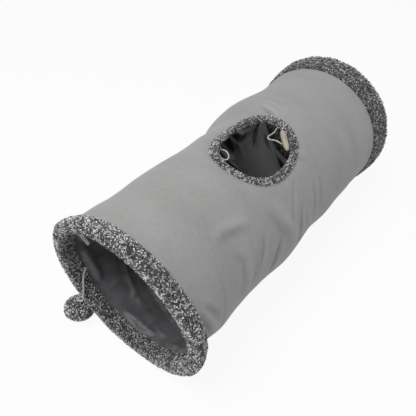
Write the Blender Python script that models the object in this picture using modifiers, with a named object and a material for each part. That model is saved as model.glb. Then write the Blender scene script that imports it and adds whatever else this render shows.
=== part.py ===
"""Cat tunnel: a suede tube held open by a coiled spring wire, with curly fleece cuffs, a fleece-edged
peephole with a wooden toggle, and a fleece ball on a cord.

Metres, +Z up. The tunnel lies along +X. The origin is on the floor, in the middle of the flat that the
near cuff rests on, straight below the near end ring. Angles are in degrees about the tunnel's axis, from
+Y towards +Z. The fabric parts are drawn on a round tube first and then settled into their real shape,
all by the same rule, so that the layers keep their gaps.
"""

import math

import bmesh
import bpy
from mathutils import Matrix, Vector

# The tunnel
TUNNEL_LENGTH = 0.596  # from the wire of the near end ring to that of the far one
RING_RADIUS = 0.1265  # to the middle of the wire
SIDES = 36  # flats round each fabric wall, and points in a turn of the wire
ROWS = 14  # faces along each fabric wall
HALF_FLAT = math.pi / SIDES

# The wire and the tape that it runs in
WIRE_RADIUS = 0.001
WIRE_START = 125.0
WIRE_STEPS = 100  # points between the two closed end rings
WIRE_EASE_SHARE = 0.08  # of the coil at each end, where its pitch grows from nothing
RING_PITCH = 0.0026  # between the wire and its own tail, side by side in the ferrule
CASING_PLAY = 0.0005
CASING_WALL = 0.0005
CASING_RADIUS = WIRE_RADIUS + CASING_PLAY + CASING_WALL
CASING_END_STEPS = 5  # of the coil, left bare beside each end ring
FERRULE_LENGTH = 0.012
FERRULE_WALL = 0.0007
FERRULE_PLAY = 0.0005
FERRULE_SIDES = 16

# The fabric walls, from the wire outwards and inwards
LAYER_GAP = 0.0009
SUEDE_THICKNESS = 0.001
LINING_THICKNESS = 0.0006
SHELL_INNER = RING_RADIUS + CASING_RADIUS + LAYER_GAP
SHELL_OUTER = SHELL_INNER + SUEDE_THICKNESS
LINING_OUTER = RING_RADIUS - CASING_RADIUS - LAYER_GAP
LINING_INNER = LINING_OUTER - LINING_THICKNESS
HEM_SETBACK = 0.005  # from the end ring to the cut edge of both walls

# The cuffs: a strip of fleece folded round each end ring
SEAT_GAP = 0.0003
CUFF_NOSE = 0.0065  # reach beyond the end ring
CUFF_ROLL = 0.014  # half the height of the fold
NEAR_CUFF_TAIL = 0.0215  # from the end ring to the sewn edge
FAR_CUFF_TAIL = 0.0445
CUFF_PILE = 0.005  # at the sewn edge
CUFF_SLOT_FRONT = 0.0045
REST_CUT = 0.0005  # the flat that the cuff's own weight presses
AXIS_HEIGHT = (RING_RADIUS + CUFF_ROLL) * math.cos(HALF_FLAT) - REST_CUT

# How the tube settles
NEAR_SPREAD_SHARE = 0.05  # the near end is this much wider than it is high
SPREAD_KEPT = 0.047
SPREAD_GONE = 0.115
RIDGE_HEIGHT = 0.0028  # the wire lifts the wall by this, and the wall draws in as much between turns
RIDGE_START = 0.0465  # from each end ring, clear of both cuffs
RIDGE_RUNOUT = 0.045
BULGE_HEIGHT = 0.005
BULGE_PLACE = 0.385
BULGE_ANGLE = 48.0
BULGE_REACH = 0.05
BULGE_SPAN = 42.0

# The peephole
HOLE_PLACE = 0.2815
HOLE_ANGLE = 102.0
HOLE_HALF_LENGTH = 0.0715
HOLE_HALF_WIDTH = 0.0585  # along the wall
HOLE_ROUNDNESS = 1.7  # 1 is a diamond and 2 an ellipse
HOLE_POINTS = 32
CUT_OVERRUN = 0.03  # more than the wall curves down across the peephole
CUT_RINGS = 10  # along the plug, so that its sides hardly twist where they meet the walls
TRIM_NOSE = 0.0055
TRIM_ROLL_OVER_WALL = 0.0058
TRIM_TAIL = 0.0095
TRIM_PILE = 0.0036
TRIM_SLOT_FRONT = 0.0006
TRIM_GAP = 0.0009  # a flat wall under a curved fold
TRIM_SPIN_RADIUS = 0.06

# The toggle
TOGGLE_LENGTH = 0.040
TOGGLE_RADIUS = 0.0048
TOGGLE_TIP_RADIUS = 0.002
TOGGLE_TAPER = 0.0075
TOGGLE_SIDES = 16
TOGGLE_BORE_RADIUS = 0.0014
BORE_SIDES = 12
TOGGLE_EDGE_SHARE = 0.10375  # of a turn round the peephole's outline
TOGGLE_INSET = 0.0106  # from that edge to the toggle's middle
TOGGLE_LIFT = 0.0021  # of its middle over the suede
TOGGLE_SLOPE = 50.5  # from the tunnel's length towards its girth

# The cords, each with the points that it runs through
CORD_RADIUS = 0.0012
CORD_POINTS = 26
TOGGLE_CORD_ROUTE = (
    (0.3505, -0.0209, 0.2543),
    (0.3496, -0.0204, 0.2518),
    (0.3445, -0.0188, 0.2499),
    (0.3370, -0.0175, 0.2496),
    (0.3312, -0.0192, 0.2494),
    (0.3302, -0.0240, 0.2490),
    (0.3331, -0.0290, 0.2486),
    (0.3347, -0.0350, 0.2483),
    (0.3332, -0.0420, 0.2489),
    (0.3302, -0.0470, 0.2510),
    (0.3288, -0.0490, 0.2540),
    (0.3285, -0.0498, 0.2566),
)
PEEPHOLE_LOOP_ROUTE = (
    (0.2571, 0.0228, 0.2526),
    (0.2572, 0.0225, 0.2500),
    (0.2590, 0.0173, 0.2497),
    (0.2578, 0.0104, 0.2498),
    (0.2548, 0.0045, 0.2479),
    (0.2506, 0.0022, 0.2450),
    (0.2464, 0.0049, 0.2439),
    (0.2444, 0.0111, 0.2457),
    (0.2459, 0.0166, 0.2486),
    (0.2481, 0.0196, 0.2505),
    (0.2489, 0.0197, 0.2538),
)
BALL_CORD_RADIUS = 0.0018
BALL_CORD_POINTS = 34
BALL_CORD_ROUTE = (
    (0.0205, 0.1140, 0.1021),
    (0.0175, 0.1130, 0.1016),
    (0.0130, 0.1111, 0.0997),
    (0.0070, 0.1075, 0.0956),
    (0.0005, 0.1020, 0.0881),
    (-0.0050, 0.0978, 0.0785),
    (-0.0088, 0.0968, 0.0685),
    (-0.0104, 0.0990, 0.0595),
    (-0.0112, 0.1040, 0.0535),
    (-0.0118, 0.1098, 0.0500),
    (-0.0120, 0.1142, 0.0468),
    (-0.0120, 0.1160, 0.0430),
    (-0.0120, 0.1162, 0.0393),
)

# The ball
BALL_PLACE = -0.012
BALL_REACH = 0.0355  # from the end ring's wire out to the ball's middle
BALL_HALF_LENGTH = 0.027
BALL_HALF_WIDTH = 0.024
BALL_HALF_HEIGHT = 0.021
BALL_ANGLE = -50.9
BALL_WALL = 0.003
BALL_FILL_GAP = 0.0005
BALL_HOLE_PLAY = 0.0005
BALL_SEGMENTS = 18
BALL_RINGS = 11
BALL_HEIGHT = SEAT_GAP + BALL_HALF_HEIGHT
BALL_DROP = AXIS_HEIGHT - BALL_HEIGHT
BALL_OFFSET = math.sqrt((RING_RADIUS + BALL_REACH) ** 2 - BALL_DROP**2) * (1 + NEAR_SPREAD_SHARE)
BALL_CENTRE = Vector((BALL_PLACE, BALL_OFFSET, BALL_HEIGHT))

# The tie: a folded tape that holds the flattened tunnel
TIE_WIDTH = 0.005
TIE_THICKNESS = 0.0007
TIE_FOLD_RADIUS = 0.001
TIE_ANGLE = 24.5
TIE_DEPTH_SHARE = 0.64  # down the sewn edge of the cuff
TIE_HANG = Vector((0.0099, -0.0042, -0.0360))  # from its seam to its fold
TIE_FOLD_SHARE = 0.4  # of the tape's steps, in the bend
TIE_STEPS = 12

AXIS = Vector((0, 0, AXIS_HEIGHT))
MERGE_DISTANCE = 0.00001
MILLIMETRE = 0.001

# Where the moving pieces are hung
FAR_END = Vector((TUNNEL_LENGTH, 0, AXIS_HEIGHT))
TOGGLE_CORD_START = Vector(TOGGLE_CORD_ROUTE[0])
LOOP_START = Vector(PEEPHOLE_LOOP_ROUTE[0])
BALL_TURN_PLACE = Vector(BALL_CORD_ROUTE[7])


def smooth_step(value):
    """0 below 0, 1 above 1, and an easy curve between."""
    value = min(max(value, 0), 1)
    return value * value * (3 - 2 * value)


def angle_between(a, b):
    """The smaller turn from a to b, in degrees."""
    return (a - b + 180) % 360 - 180


def on_wall(place, angle, radius):
    """A point of the round tube, about its own axis."""
    turn = math.radians(angle)
    return Vector((place, radius * math.cos(turn), radius * math.sin(turn)))


def coil_progress(share):
    """How far along the tunnel the coil has come after a share of its turns, eased at both ends."""
    ease = WIRE_EASE_SHARE
    if share < ease:
        return share * share / (2 * ease * (1 - ease))
    if share > 1 - ease:
        return 1 - (1 - share) ** 2 / (2 * ease * (1 - ease))
    return (share - ease / 2) / (1 - ease)


def coil_pitch():
    """Length of one full turn of the coil between its eased ends."""
    return TUNNEL_LENGTH / (1 - WIRE_EASE_SHARE) * SIDES / WIRE_STEPS


def coil_offset(place, angle):
    """Distance along the tunnel from a point of the wall to the nearest turn of the coil."""
    middle_angle = WIRE_START + WIRE_STEPS / 2 * 360 / SIDES
    turn_place = TUNNEL_LENGTH / 2 + coil_pitch() * (angle - middle_angle) / 360
    return (place - turn_place + coil_pitch() / 2) % coil_pitch() - coil_pitch() / 2


def settled(point):
    """A point of the round tube in its real place: end ring, ridges over the wire, bulge and height."""
    place, across, up = point
    radius = math.hypot(across, up)
    angle = math.degrees(math.atan2(up, across))
    end_distance = min(place, TUNNEL_LENGTH - place)
    ridge = RIDGE_HEIGHT * math.cos(2 * math.pi * coil_offset(place, angle) / coil_pitch())
    ridge *= smooth_step((end_distance - RIDGE_START) / RIDGE_RUNOUT)
    bulge = BULGE_HEIGHT * math.exp(
        -(((place - BULGE_PLACE) / BULGE_REACH) ** 2)
        - (angle_between(angle, BULGE_ANGLE) / BULGE_SPAN) ** 2
    )
    grown = 1 + (ridge + bulge) / SHELL_OUTER
    spread = NEAR_SPREAD_SHARE * (1 - smooth_step((place - SPREAD_KEPT) / (SPREAD_GONE - SPREAD_KEPT)))
    return Vector((place, across * grown * (1 + spread), up * grown + AXIS_HEIGHT))


def collection(name):
    made = bpy.data.collections.new(name)
    bpy.context.scene.collection.children.link(made)
    return made


def material(name, colour, roughness, metallic=0.0):
    made = bpy.data.materials.new(name)
    made.use_nodes = True
    made.diffuse_color = (*colour, 1)
    shader = made.node_tree.nodes["Principled BSDF"]
    shader.inputs["Base Color"].default_value = (*colour, 1)
    shader.inputs["Roughness"].default_value = roughness
    shader.inputs["Metallic"].default_value = metallic
    return made


def add_object(name, data, group, finish=None):
    made = bpy.data.objects.new(name, data)
    if finish:
        data.materials.append(finish)
    group.objects.link(made)
    return made


def add_mesh(name, shape, group, finish=None):
    data = bpy.data.meshes.new(name)
    shape.to_mesh(data)
    shape.free()
    return add_object(name, data, group, finish)


def apply_modifiers(obj):
    """The object's mesh as its modifiers leave it, in triangles, so that it can be settled."""
    bpy.context.view_layer.update()
    graph = bpy.context.evaluated_depsgraph_get()
    data = bpy.data.meshes.new_from_object(obj.evaluated_get(graph))
    obj.modifiers.clear()
    shape = bmesh.new()
    shape.from_mesh(data)
    bmesh.ops.triangulate(shape, faces=shape.faces)
    shape.to_mesh(data)
    shape.free()
    obj.data = data


def settle(obj):
    for vertex in obj.data.vertices:
        vertex.co = settled(vertex.co)
    obj.data.shade_smooth()


def face_outwards(obj):
    shape = bmesh.new()
    shape.from_mesh(obj.data)
    bmesh.ops.recalc_face_normals(shape, faces=shape.faces)
    shape.to_mesh(obj.data)
    shape.free()


def hang(obj, joint):
    """Give a moving piece its joint's place as its origin. The piece stays where it is."""
    obj.data.transform(Matrix.Translation(-joint))
    obj.matrix_world = Matrix.Translation(joint)


def cut(obj, cutter):
    step = obj.modifiers.new("cut_" + cutter.name, "BOOLEAN")
    step.operation = "DIFFERENCE"
    step.object = cutter


def thicken(obj, thickness, offset):
    wall = obj.modifiers.new("wall", "SOLIDIFY")
    wall.thickness = thickness
    wall.offset = offset
    wall.use_even_offset = True


def hide_cutter(obj):
    obj.hide_render = True
    obj.display_type = "WIRE"
    return obj


def turned(name, outline, steps, axis, group, finish):
    """A closed outline turned once round an axis, and applied."""
    shape = bmesh.new()
    corners = [shape.verts.new(point) for point in outline]
    for first, second in zip(corners, corners[1:] + corners[:1]):
        shape.edges.new((first, second))
    obj = add_mesh(name, shape, group, finish)
    screw = obj.modifiers.new("turn", "SCREW")
    screw.axis = axis
    screw.steps = steps
    screw.render_steps = steps
    screw.use_merge_vertices = True
    screw.merge_threshold = MERGE_DISTANCE
    apply_modifiers(obj)
    face_outwards(obj)
    return obj


def fold_section(nose, roll, tail, pile, slot_front, slot_high, slot_low):
    """A folded strip of fleece, cut across: (along, height) points round its nose, tails and slot."""
    points = [(tail, slot_high), (tail, slot_high + pile)]
    for step in range(7):
        turn = math.pi * step / 6
        points.append((-nose * math.sin(turn), roll * math.cos(turn)))
    points += [(tail, slot_low - pile), (tail, slot_low)]
    points += [(-slot_front, slot_low), (-slot_front, slot_high)]
    return points


def smooth_route(route, count):
    """Even points on a smooth curve through the route's own points."""
    points = [Vector(point) for point in route]
    ends = [2 * points[0] - points[1], *points, 2 * points[-1] - points[-2]]
    fine = []
    per_piece = 24
    for before, start, end, after in zip(ends, ends[1:], ends[2:], ends[3:]):
        for step in range(per_piece):
            t = step / per_piece
            fine.append(
                0.5
                * (
                    2 * start
                    + (end - before) * t
                    + (2 * before - 5 * start + 4 * end - after) * t**2
                    + (3 * start - before - 3 * end + after) * t**3
                )
            )
    fine.append(points[-1])
    lengths = [0]
    for first, second in zip(fine, fine[1:]):
        lengths.append(lengths[-1] + (second - first).length)
    even = []
    index = 0
    for step in range(count):
        wanted = lengths[-1] * step / (count - 1)
        while index < len(lengths) - 2 and lengths[index + 1] < wanted:
            index += 1
        share = (wanted - lengths[index]) / (lengths[index + 1] - lengths[index])
        even.append(fine[index].lerp(fine[index + 1], share))
    return even


def add_tube(name, points, radius, resolution, group, finish, caps=True):
    data = bpy.data.curves.new(name, "CURVE")
    data.dimensions = "3D"
    data.bevel_depth = radius
    data.bevel_resolution = resolution
    data.use_fill_caps = caps
    spline = data.splines.new("POLY")
    spline.points.add(len(points) - 1)
    for spot, point in zip(spline.points, points):
        spot.co = (*point, 1)
    return add_object(name, data, group, finish)


def tube_mesh(curve):
    """A tube curve made a mesh, with its loose end points merged."""
    bpy.context.view_layer.update()
    graph = bpy.context.evaluated_depsgraph_get()
    data = bpy.data.meshes.new_from_object(curve.evaluated_get(graph))
    name, place, group = curve.name, curve.matrix_world.copy(), curve.users_collection[0]
    bpy.data.objects.remove(curve)
    shape = bmesh.new()
    shape.from_mesh(data)
    bmesh.ops.remove_doubles(shape, verts=shape.verts, dist=MERGE_DISTANCE / 10)
    shape.to_mesh(data)
    shape.free()
    made = add_object(name, data, group)
    made.matrix_world = place
    return made


def hole_edge(share, outset=0.0):
    """A point of the peephole's outline on the flattened wall, moved outwards by outset."""
    turn = 2 * math.pi * share
    power = 2 / HOLE_ROUNDNESS
    along = HOLE_HALF_LENGTH * math.copysign(abs(math.cos(turn)) ** power, math.cos(turn))
    across = HOLE_HALF_WIDTH * math.copysign(abs(math.sin(turn)) ** power, math.sin(turn))
    slope = HOLE_ROUNDNESS - 1
    outwards = Vector(
        (
            math.copysign(abs(along / HOLE_HALF_LENGTH) ** slope / HOLE_HALF_LENGTH, along),
            math.copysign(abs(across / HOLE_HALF_WIDTH) ** slope / HOLE_HALF_WIDTH, across),
        )
    ).normalized()
    return Vector((along, across)) + outset * outwards


def hole_to_wall(flat, radius):
    """A point beside the peephole, from the flattened wall to the round tube."""
    turn = math.degrees(flat[1] / SHELL_OUTER)
    return on_wall(HOLE_PLACE + flat[0], HOLE_ANGLE + turn, radius)


def upright_edges(shape):
    """The side edges of a cylinder or cone that still stands upright."""
    return [edge for edge in shape.edges if edge.verts[0].co.z * edge.verts[1].co.z < 0]


def hole_cutter(group):
    """A plug through both walls with the peephole's outline."""
    shape = bmesh.new()
    bmesh.ops.create_cone(
        shape, cap_ends=True, segments=HOLE_POINTS, radius1=1, radius2=1, depth=2
    )
    bmesh.ops.subdivide_edges(shape, edges=upright_edges(shape), cuts=CUT_RINGS, use_grid_fill=True)
    middle = (SHELL_OUTER + LINING_INNER) / 2
    half_depth = (SHELL_OUTER - LINING_INNER) / 2 + CUT_OVERRUN
    for vertex in shape.verts:
        share = math.atan2(vertex.co.y, vertex.co.x) / (2 * math.pi)
        vertex.co = hole_to_wall(hole_edge(share), middle + half_depth * vertex.co.z)
    # Length, girth and height above the wall make a left-handed set, which turns the plug inside out.
    bmesh.ops.reverse_faces(shape, faces=shape.faces)
    return hide_cutter(add_mesh("peephole_cutter", shape, group))


def fabric_wall(name, outer, thickness, cutter, group, finish):
    """A round tube of cloth with the peephole cut in it, settled."""
    length = TUNNEL_LENGTH - 2 * HEM_SETBACK
    shape = bmesh.new()
    bmesh.ops.create_cone(
        shape, cap_ends=False, segments=SIDES, radius1=outer, radius2=outer, depth=length
    )
    bmesh.ops.subdivide_edges(shape, edges=upright_edges(shape), cuts=ROWS - 1, use_grid_fill=True)
    lie_down = Matrix.Translation((TUNNEL_LENGTH / 2, 0, 0)) @ Matrix.Rotation(math.pi / 2, 4, "Y")
    half_turn = Matrix.Rotation(HALF_FLAT + math.pi / 2, 4, "X")
    bmesh.ops.transform(shape, matrix=half_turn @ lie_down, verts=shape.verts)
    obj = add_mesh(name, shape, group, finish)
    thicken(obj, thickness, -1)
    cut(obj, cutter)
    apply_modifiers(obj)
    settle(obj)
    return obj


def wire_points():
    """The wire: a closed turn at each end, and the open coil between them."""
    points = []
    for step in range(WIRE_STEPS + 2 * SIDES + 1):
        angle = WIRE_START + (step - SIDES) * 360 / SIDES
        if step <= SIDES:
            place = RING_PITCH * (step / SIDES - 0.5)
        elif step >= SIDES + WIRE_STEPS:
            place = TUNNEL_LENGTH + RING_PITCH * ((step - WIRE_STEPS) / SIDES - 1.5)
        else:
            bare = TUNNEL_LENGTH - RING_PITCH
            place = RING_PITCH / 2 + bare * coil_progress((step - SIDES) / WIRE_STEPS)
        points.append(settled(on_wall(place, angle, RING_RADIUS)))
    return points


def least_gap(points, radius, apart):
    """The least clear distance between stretches of a tube that are at least this many points apart."""
    return min(
        (points[second] - points[first]).length
        for first in range(len(points))
        for second in range(first + apart, len(points))
    ) - 2 * radius


def build_wire(group):
    points = wire_points()
    gap = least_gap(points, WIRE_RADIUS, SIDES // 2)
    print("least gap between turns of the wire:", round(gap / MILLIMETRE, 2), "mm")
    steel = material("spring_steel", (0.42, 0.42, 0.43), 0.35, 1.0)
    add_tube("spring_wire", points, WIRE_RADIUS, 1, group, steel)
    first = SIDES + CASING_END_STEPS
    last = SIDES + WIRE_STEPS - CASING_END_STEPS
    bore = add_tube("wire_casing", points[first : last + 1], CASING_RADIUS, 1, group, None, caps=False)
    casing = tube_mesh(bore)
    casing.data.materials.append(material("casing_tape", (0.07, 0.07, 0.075), 0.9))
    thicken(casing, CASING_WALL, -1)
    apply_modifiers(casing)
    face_outwards(casing)


def build_ferrule(name, place, angle, group, finish):
    """A flattened sleeve crimped over the wire and its own tail."""
    shape = bmesh.new()
    bmesh.ops.create_cone(
        shape, cap_ends=False, segments=FERRULE_SIDES, radius1=1, radius2=1, depth=FERRULE_LENGTH
    )
    half_length = RING_PITCH / 2 + WIRE_RADIUS + 2 * FERRULE_PLAY
    half_height = WIRE_RADIUS + FERRULE_PLAY
    bmesh.ops.scale(shape, vec=(half_length, half_height, 1), verts=shape.verts)
    radius = RING_RADIUS * math.cos(HALF_FLAT)
    stand = Matrix.Translation(on_wall(place, angle, radius)) @ Matrix.Rotation(
        math.radians(angle) + math.pi, 4, "X"
    )
    bmesh.ops.transform(shape, matrix=stand, verts=shape.verts)
    obj = add_mesh(name, shape, group, finish)
    thicken(obj, FERRULE_WALL, 1)
    apply_modifiers(obj)
    face_outwards(obj)
    settle(obj)
    return obj


def build_cuff(name, ring_place, inwards, tail, floor, group, finish):
    """A cuff at an end ring. inwards is 1 where the tunnel goes on along +X, and -1 at the far end."""
    section = fold_section(
        CUFF_NOSE,
        CUFF_ROLL,
        tail,
        CUFF_PILE,
        CUFF_SLOT_FRONT,
        SHELL_OUTER + SEAT_GAP - RING_RADIUS,
        LINING_INNER - SEAT_GAP - RING_RADIUS,
    )
    start = math.degrees(HALF_FLAT)
    outline = [
        on_wall(ring_place + inwards * along, start, RING_RADIUS + height) for along, height in section
    ]
    obj = turned(name, outline, SIDES, "X", group, finish)
    settle(obj)
    cut(obj, floor)
    return obj


def floor_cutter(group):
    """Everything below the floor under the whole tunnel."""
    size = TUNNEL_LENGTH + 4 * RING_RADIUS
    shape = bmesh.new()
    bmesh.ops.create_cube(shape, size=size)
    bmesh.ops.translate(shape, vec=(TUNNEL_LENGTH / 2, 0, -size / 2), verts=shape.verts)
    return hide_cutter(add_mesh("floor_cutter", shape, group))


def build_trim(group, finish):
    """The fleece band folded round the peephole's edge."""
    middle = (SHELL_OUTER + LINING_INNER) / 2
    half_wall = (SHELL_OUTER - LINING_INNER) / 2
    section = fold_section(
        TRIM_NOSE,
        half_wall + TRIM_ROLL_OVER_WALL,
        TRIM_TAIL,
        TRIM_PILE,
        TRIM_SLOT_FRONT,
        half_wall + TRIM_GAP,
        -half_wall - TRIM_GAP,
    )
    outline = [(TRIM_SPIN_RADIUS + along, 0, height) for along, height in section]
    obj = turned("peephole_trim", outline, HOLE_POINTS, "Z", group, finish)
    for vertex in obj.data.vertices:
        share = math.atan2(vertex.co.y, vertex.co.x) / (2 * math.pi)
        outset = math.hypot(vertex.co.x, vertex.co.y) - TRIM_SPIN_RADIUS
        vertex.co = hole_to_wall(hole_edge(share, outset), middle + vertex.co.z)
    settle(obj)
    face_outwards(obj)


def toggle_frame():
    """The toggle's middle, its long direction and the direction straight out through the wall."""
    middle = hole_to_wall(hole_edge(TOGGLE_EDGE_SHARE, -TOGGLE_INSET), SHELL_OUTER + TOGGLE_LIFT)
    turn = math.atan2(middle.z, middle.y)
    middle += AXIS
    out = Vector((0, math.cos(turn), math.sin(turn)))
    girth = Vector((0, -math.sin(turn), math.cos(turn)))
    slope = math.radians(TOGGLE_SLOPE)
    long = (-math.cos(slope) * Vector((1, 0, 0)) + math.sin(slope) * girth).normalized()
    return middle, long, out


def build_toggle(group, cutters):
    """A turned wooden peg with chamfered ends and a cross bore for its cord."""
    half = TOGGLE_LENGTH / 2
    outline = [
        (0, 0, half),
        (TOGGLE_TIP_RADIUS, 0, half),
        (TOGGLE_RADIUS, 0, half - TOGGLE_TAPER),
        (TOGGLE_RADIUS, 0, TOGGLE_TAPER - half),
        (TOGGLE_TIP_RADIUS, 0, -half),
        (0, 0, -half),
    ]
    shape = bmesh.new()
    corners = [shape.verts.new(point) for point in outline]
    for first, second in zip(corners, corners[1:]):
        shape.edges.new((first, second))
    wood = material("pale_wood", (0.60, 0.50, 0.36), 0.55)
    peg = add_mesh("toggle", shape, group, wood)
    screw = peg.modifiers.new("turn", "SCREW")
    screw.steps = TOGGLE_SIDES
    screw.render_steps = TOGGLE_SIDES
    screw.use_merge_vertices = True
    screw.merge_threshold = MERGE_DISTANCE
    drill_shape = bmesh.new()
    bmesh.ops.create_cone(
        drill_shape,
        cap_ends=True,
        segments=BORE_SIDES,
        radius1=TOGGLE_BORE_RADIUS,
        radius2=TOGGLE_BORE_RADIUS,
        depth=4 * TOGGLE_RADIUS,
    )
    drill = hide_cutter(add_mesh("toggle_drill", drill_shape, cutters))
    middle, long, out = toggle_frame()
    side = out.cross(long)
    peg.matrix_world = Matrix.Translation(middle) @ Matrix((side, out, long)).transposed().to_4x4()
    drill.matrix_world = Matrix.Translation(middle) @ Matrix((long, side, out)).transposed().to_4x4()
    cut(peg, drill)
    peg.data.shade_smooth()


def ball_shape(wall):
    """The ball's rounded form, this far inside its surface."""
    shape = bmesh.new()
    bmesh.ops.create_uvsphere(shape, u_segments=BALL_SEGMENTS, v_segments=BALL_RINGS, radius=1)
    halves = (BALL_HALF_LENGTH - wall, BALL_HALF_WIDTH - wall, BALL_HALF_HEIGHT - wall)
    bmesh.ops.scale(shape, vec=halves, verts=shape.verts)
    turn = Matrix.Rotation(math.radians(BALL_ANGLE), 4, "Z")
    bmesh.ops.transform(shape, matrix=Matrix.Translation(BALL_CENTRE) @ turn, verts=shape.verts)
    return shape


def build_ball(group, cutters, fleece):
    cover = add_mesh("ball_cover", ball_shape(0), group, fleece)
    thicken(cover, BALL_WALL, -1)
    hole_shape = bmesh.new()
    bore = BALL_CORD_RADIUS + BALL_HOLE_PLAY
    bmesh.ops.create_cone(
        hole_shape, cap_ends=True, segments=BORE_SIDES, radius1=bore, radius2=bore, depth=BALL_HALF_HEIGHT
    )
    top = BALL_CENTRE + Vector((0, 0, BALL_HALF_HEIGHT))
    bmesh.ops.translate(hole_shape, vec=top, verts=hole_shape.verts)
    cut(cover, hide_cutter(add_mesh("ball_hole", hole_shape, cutters)))
    stuffing = material("polyester_fill", (0.78, 0.78, 0.76), 0.95)
    filling = add_mesh("ball_filling", ball_shape(BALL_WALL + BALL_FILL_GAP), group, stuffing)
    for piece in (cover, filling):
        piece.data.shade_smooth()
        hang(piece, BALL_TURN_PLACE)


def tie_fold(share, straight):
    """Reach down and offset sideways along the folded tape, for a share from -1 to 1 of its length."""
    if abs(share) < TIE_FOLD_SHARE:
        turn = math.pi / 2 * share / TIE_FOLD_SHARE
        return straight + TIE_FOLD_RADIUS * math.cos(turn), TIE_FOLD_RADIUS * math.sin(turn)
    return straight * (1 - abs(share)) / (1 - TIE_FOLD_SHARE), math.copysign(TIE_FOLD_RADIUS, share)


def build_tie(group):
    """A strip of tape folded double, hanging from the seam of the near cuff."""
    place = NEAR_CUFF_TAIL + SEAT_GAP + TIE_WIDTH / 2
    top = settled(on_wall(place, TIE_ANGLE, LINING_INNER - SEAT_GAP - TIE_DEPTH_SHARE * CUFF_PILE))
    down = TIE_HANG.normalized()
    width = down.cross(Vector((0, 1, 0))).normalized()
    apart = width.cross(down)
    straight = TIE_HANG.length - TIE_FOLD_RADIUS
    shape = bmesh.new()
    bmesh.ops.create_grid(shape, x_segments=TIE_STEPS, y_segments=1, size=1)
    for vertex in shape.verts:
        reach, offset = tie_fold(vertex.co.x, straight)
        middle = top + down * reach + apart * offset
        vertex.co = middle + width * TIE_WIDTH / 2 * vertex.co.y
    obj = add_mesh("near_tie", shape, group, material("cotton_tape", (0.42, 0.42, 0.40), 0.85))
    thicken(obj, TIE_THICKNESS, 0)
    hang(obj, top)


def build():
    for old in list(bpy.data.objects):
        bpy.data.objects.remove(old)
    tunnel = collection("cat_tunnel")
    cutters = collection("cutters")
    suede = material("grey_suede", (0.29, 0.29, 0.28), 0.9)
    lining = material("grey_lining", (0.035, 0.035, 0.037), 0.55)
    fleece = material("curly_fleece", (0.13, 0.13, 0.135), 1.0)
    trim_fleece = material("peephole_fleece", (0.13, 0.13, 0.135), 1.0)
    ball_fleece = material("ball_fleece", (0.13, 0.13, 0.135), 1.0)
    zinc = material("zinc_plate", (0.55, 0.55, 0.56), 0.4, 1.0)
    cream = material("cream_cord", (0.62, 0.58, 0.50), 0.85)
    beige = material("beige_cord", (0.42, 0.40, 0.36), 0.85)

    hole = hole_cutter(cutters)
    floor = floor_cutter(cutters)
    fabric_wall("outer_shell", SHELL_OUTER, SUEDE_THICKNESS, hole, tunnel, suede)
    fabric_wall("lining", LINING_OUTER, LINING_THICKNESS, hole, tunnel, lining)
    build_wire(tunnel)
    tail_middle = math.degrees(HALF_FLAT)
    build_ferrule("near_ferrule", 0, WIRE_START + tail_middle, tunnel, zinc)
    far_angle = WIRE_START + WIRE_STEPS * 360 / SIDES - tail_middle
    far_ferrule = build_ferrule("far_ferrule", TUNNEL_LENGTH, far_angle, tunnel, zinc)
    hang(far_ferrule, FAR_END)
    build_cuff("near_cuff", 0, 1, NEAR_CUFF_TAIL, floor, tunnel, fleece)
    far_cuff = build_cuff("far_cuff", TUNNEL_LENGTH, -1, FAR_CUFF_TAIL, floor, tunnel, fleece)
    hang(far_cuff, FAR_END)
    build_trim(tunnel, trim_fleece)
    build_toggle(tunnel, cutters)
    toggle_route = smooth_route(TOGGLE_CORD_ROUTE, CORD_POINTS)
    hang(add_tube("toggle_cord", toggle_route, CORD_RADIUS, 2, tunnel, cream), TOGGLE_CORD_START)
    loop_route = smooth_route(PEEPHOLE_LOOP_ROUTE, CORD_POINTS)
    hang(add_tube("peephole_loop", loop_route, CORD_RADIUS, 2, tunnel, cream), LOOP_START)
    ball_route = smooth_route(BALL_CORD_ROUTE, BALL_CORD_POINTS)
    hang(add_tube("ball_cord", ball_route, BALL_CORD_RADIUS, 2, tunnel, beige), BALL_TURN_PLACE)
    build_ball(tunnel, cutters, ball_fleece)
    build_tie(tunnel)


build()
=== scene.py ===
import math

import bmesh
import bpy
import numpy as np
from mathutils import Matrix, Vector, noise


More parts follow.
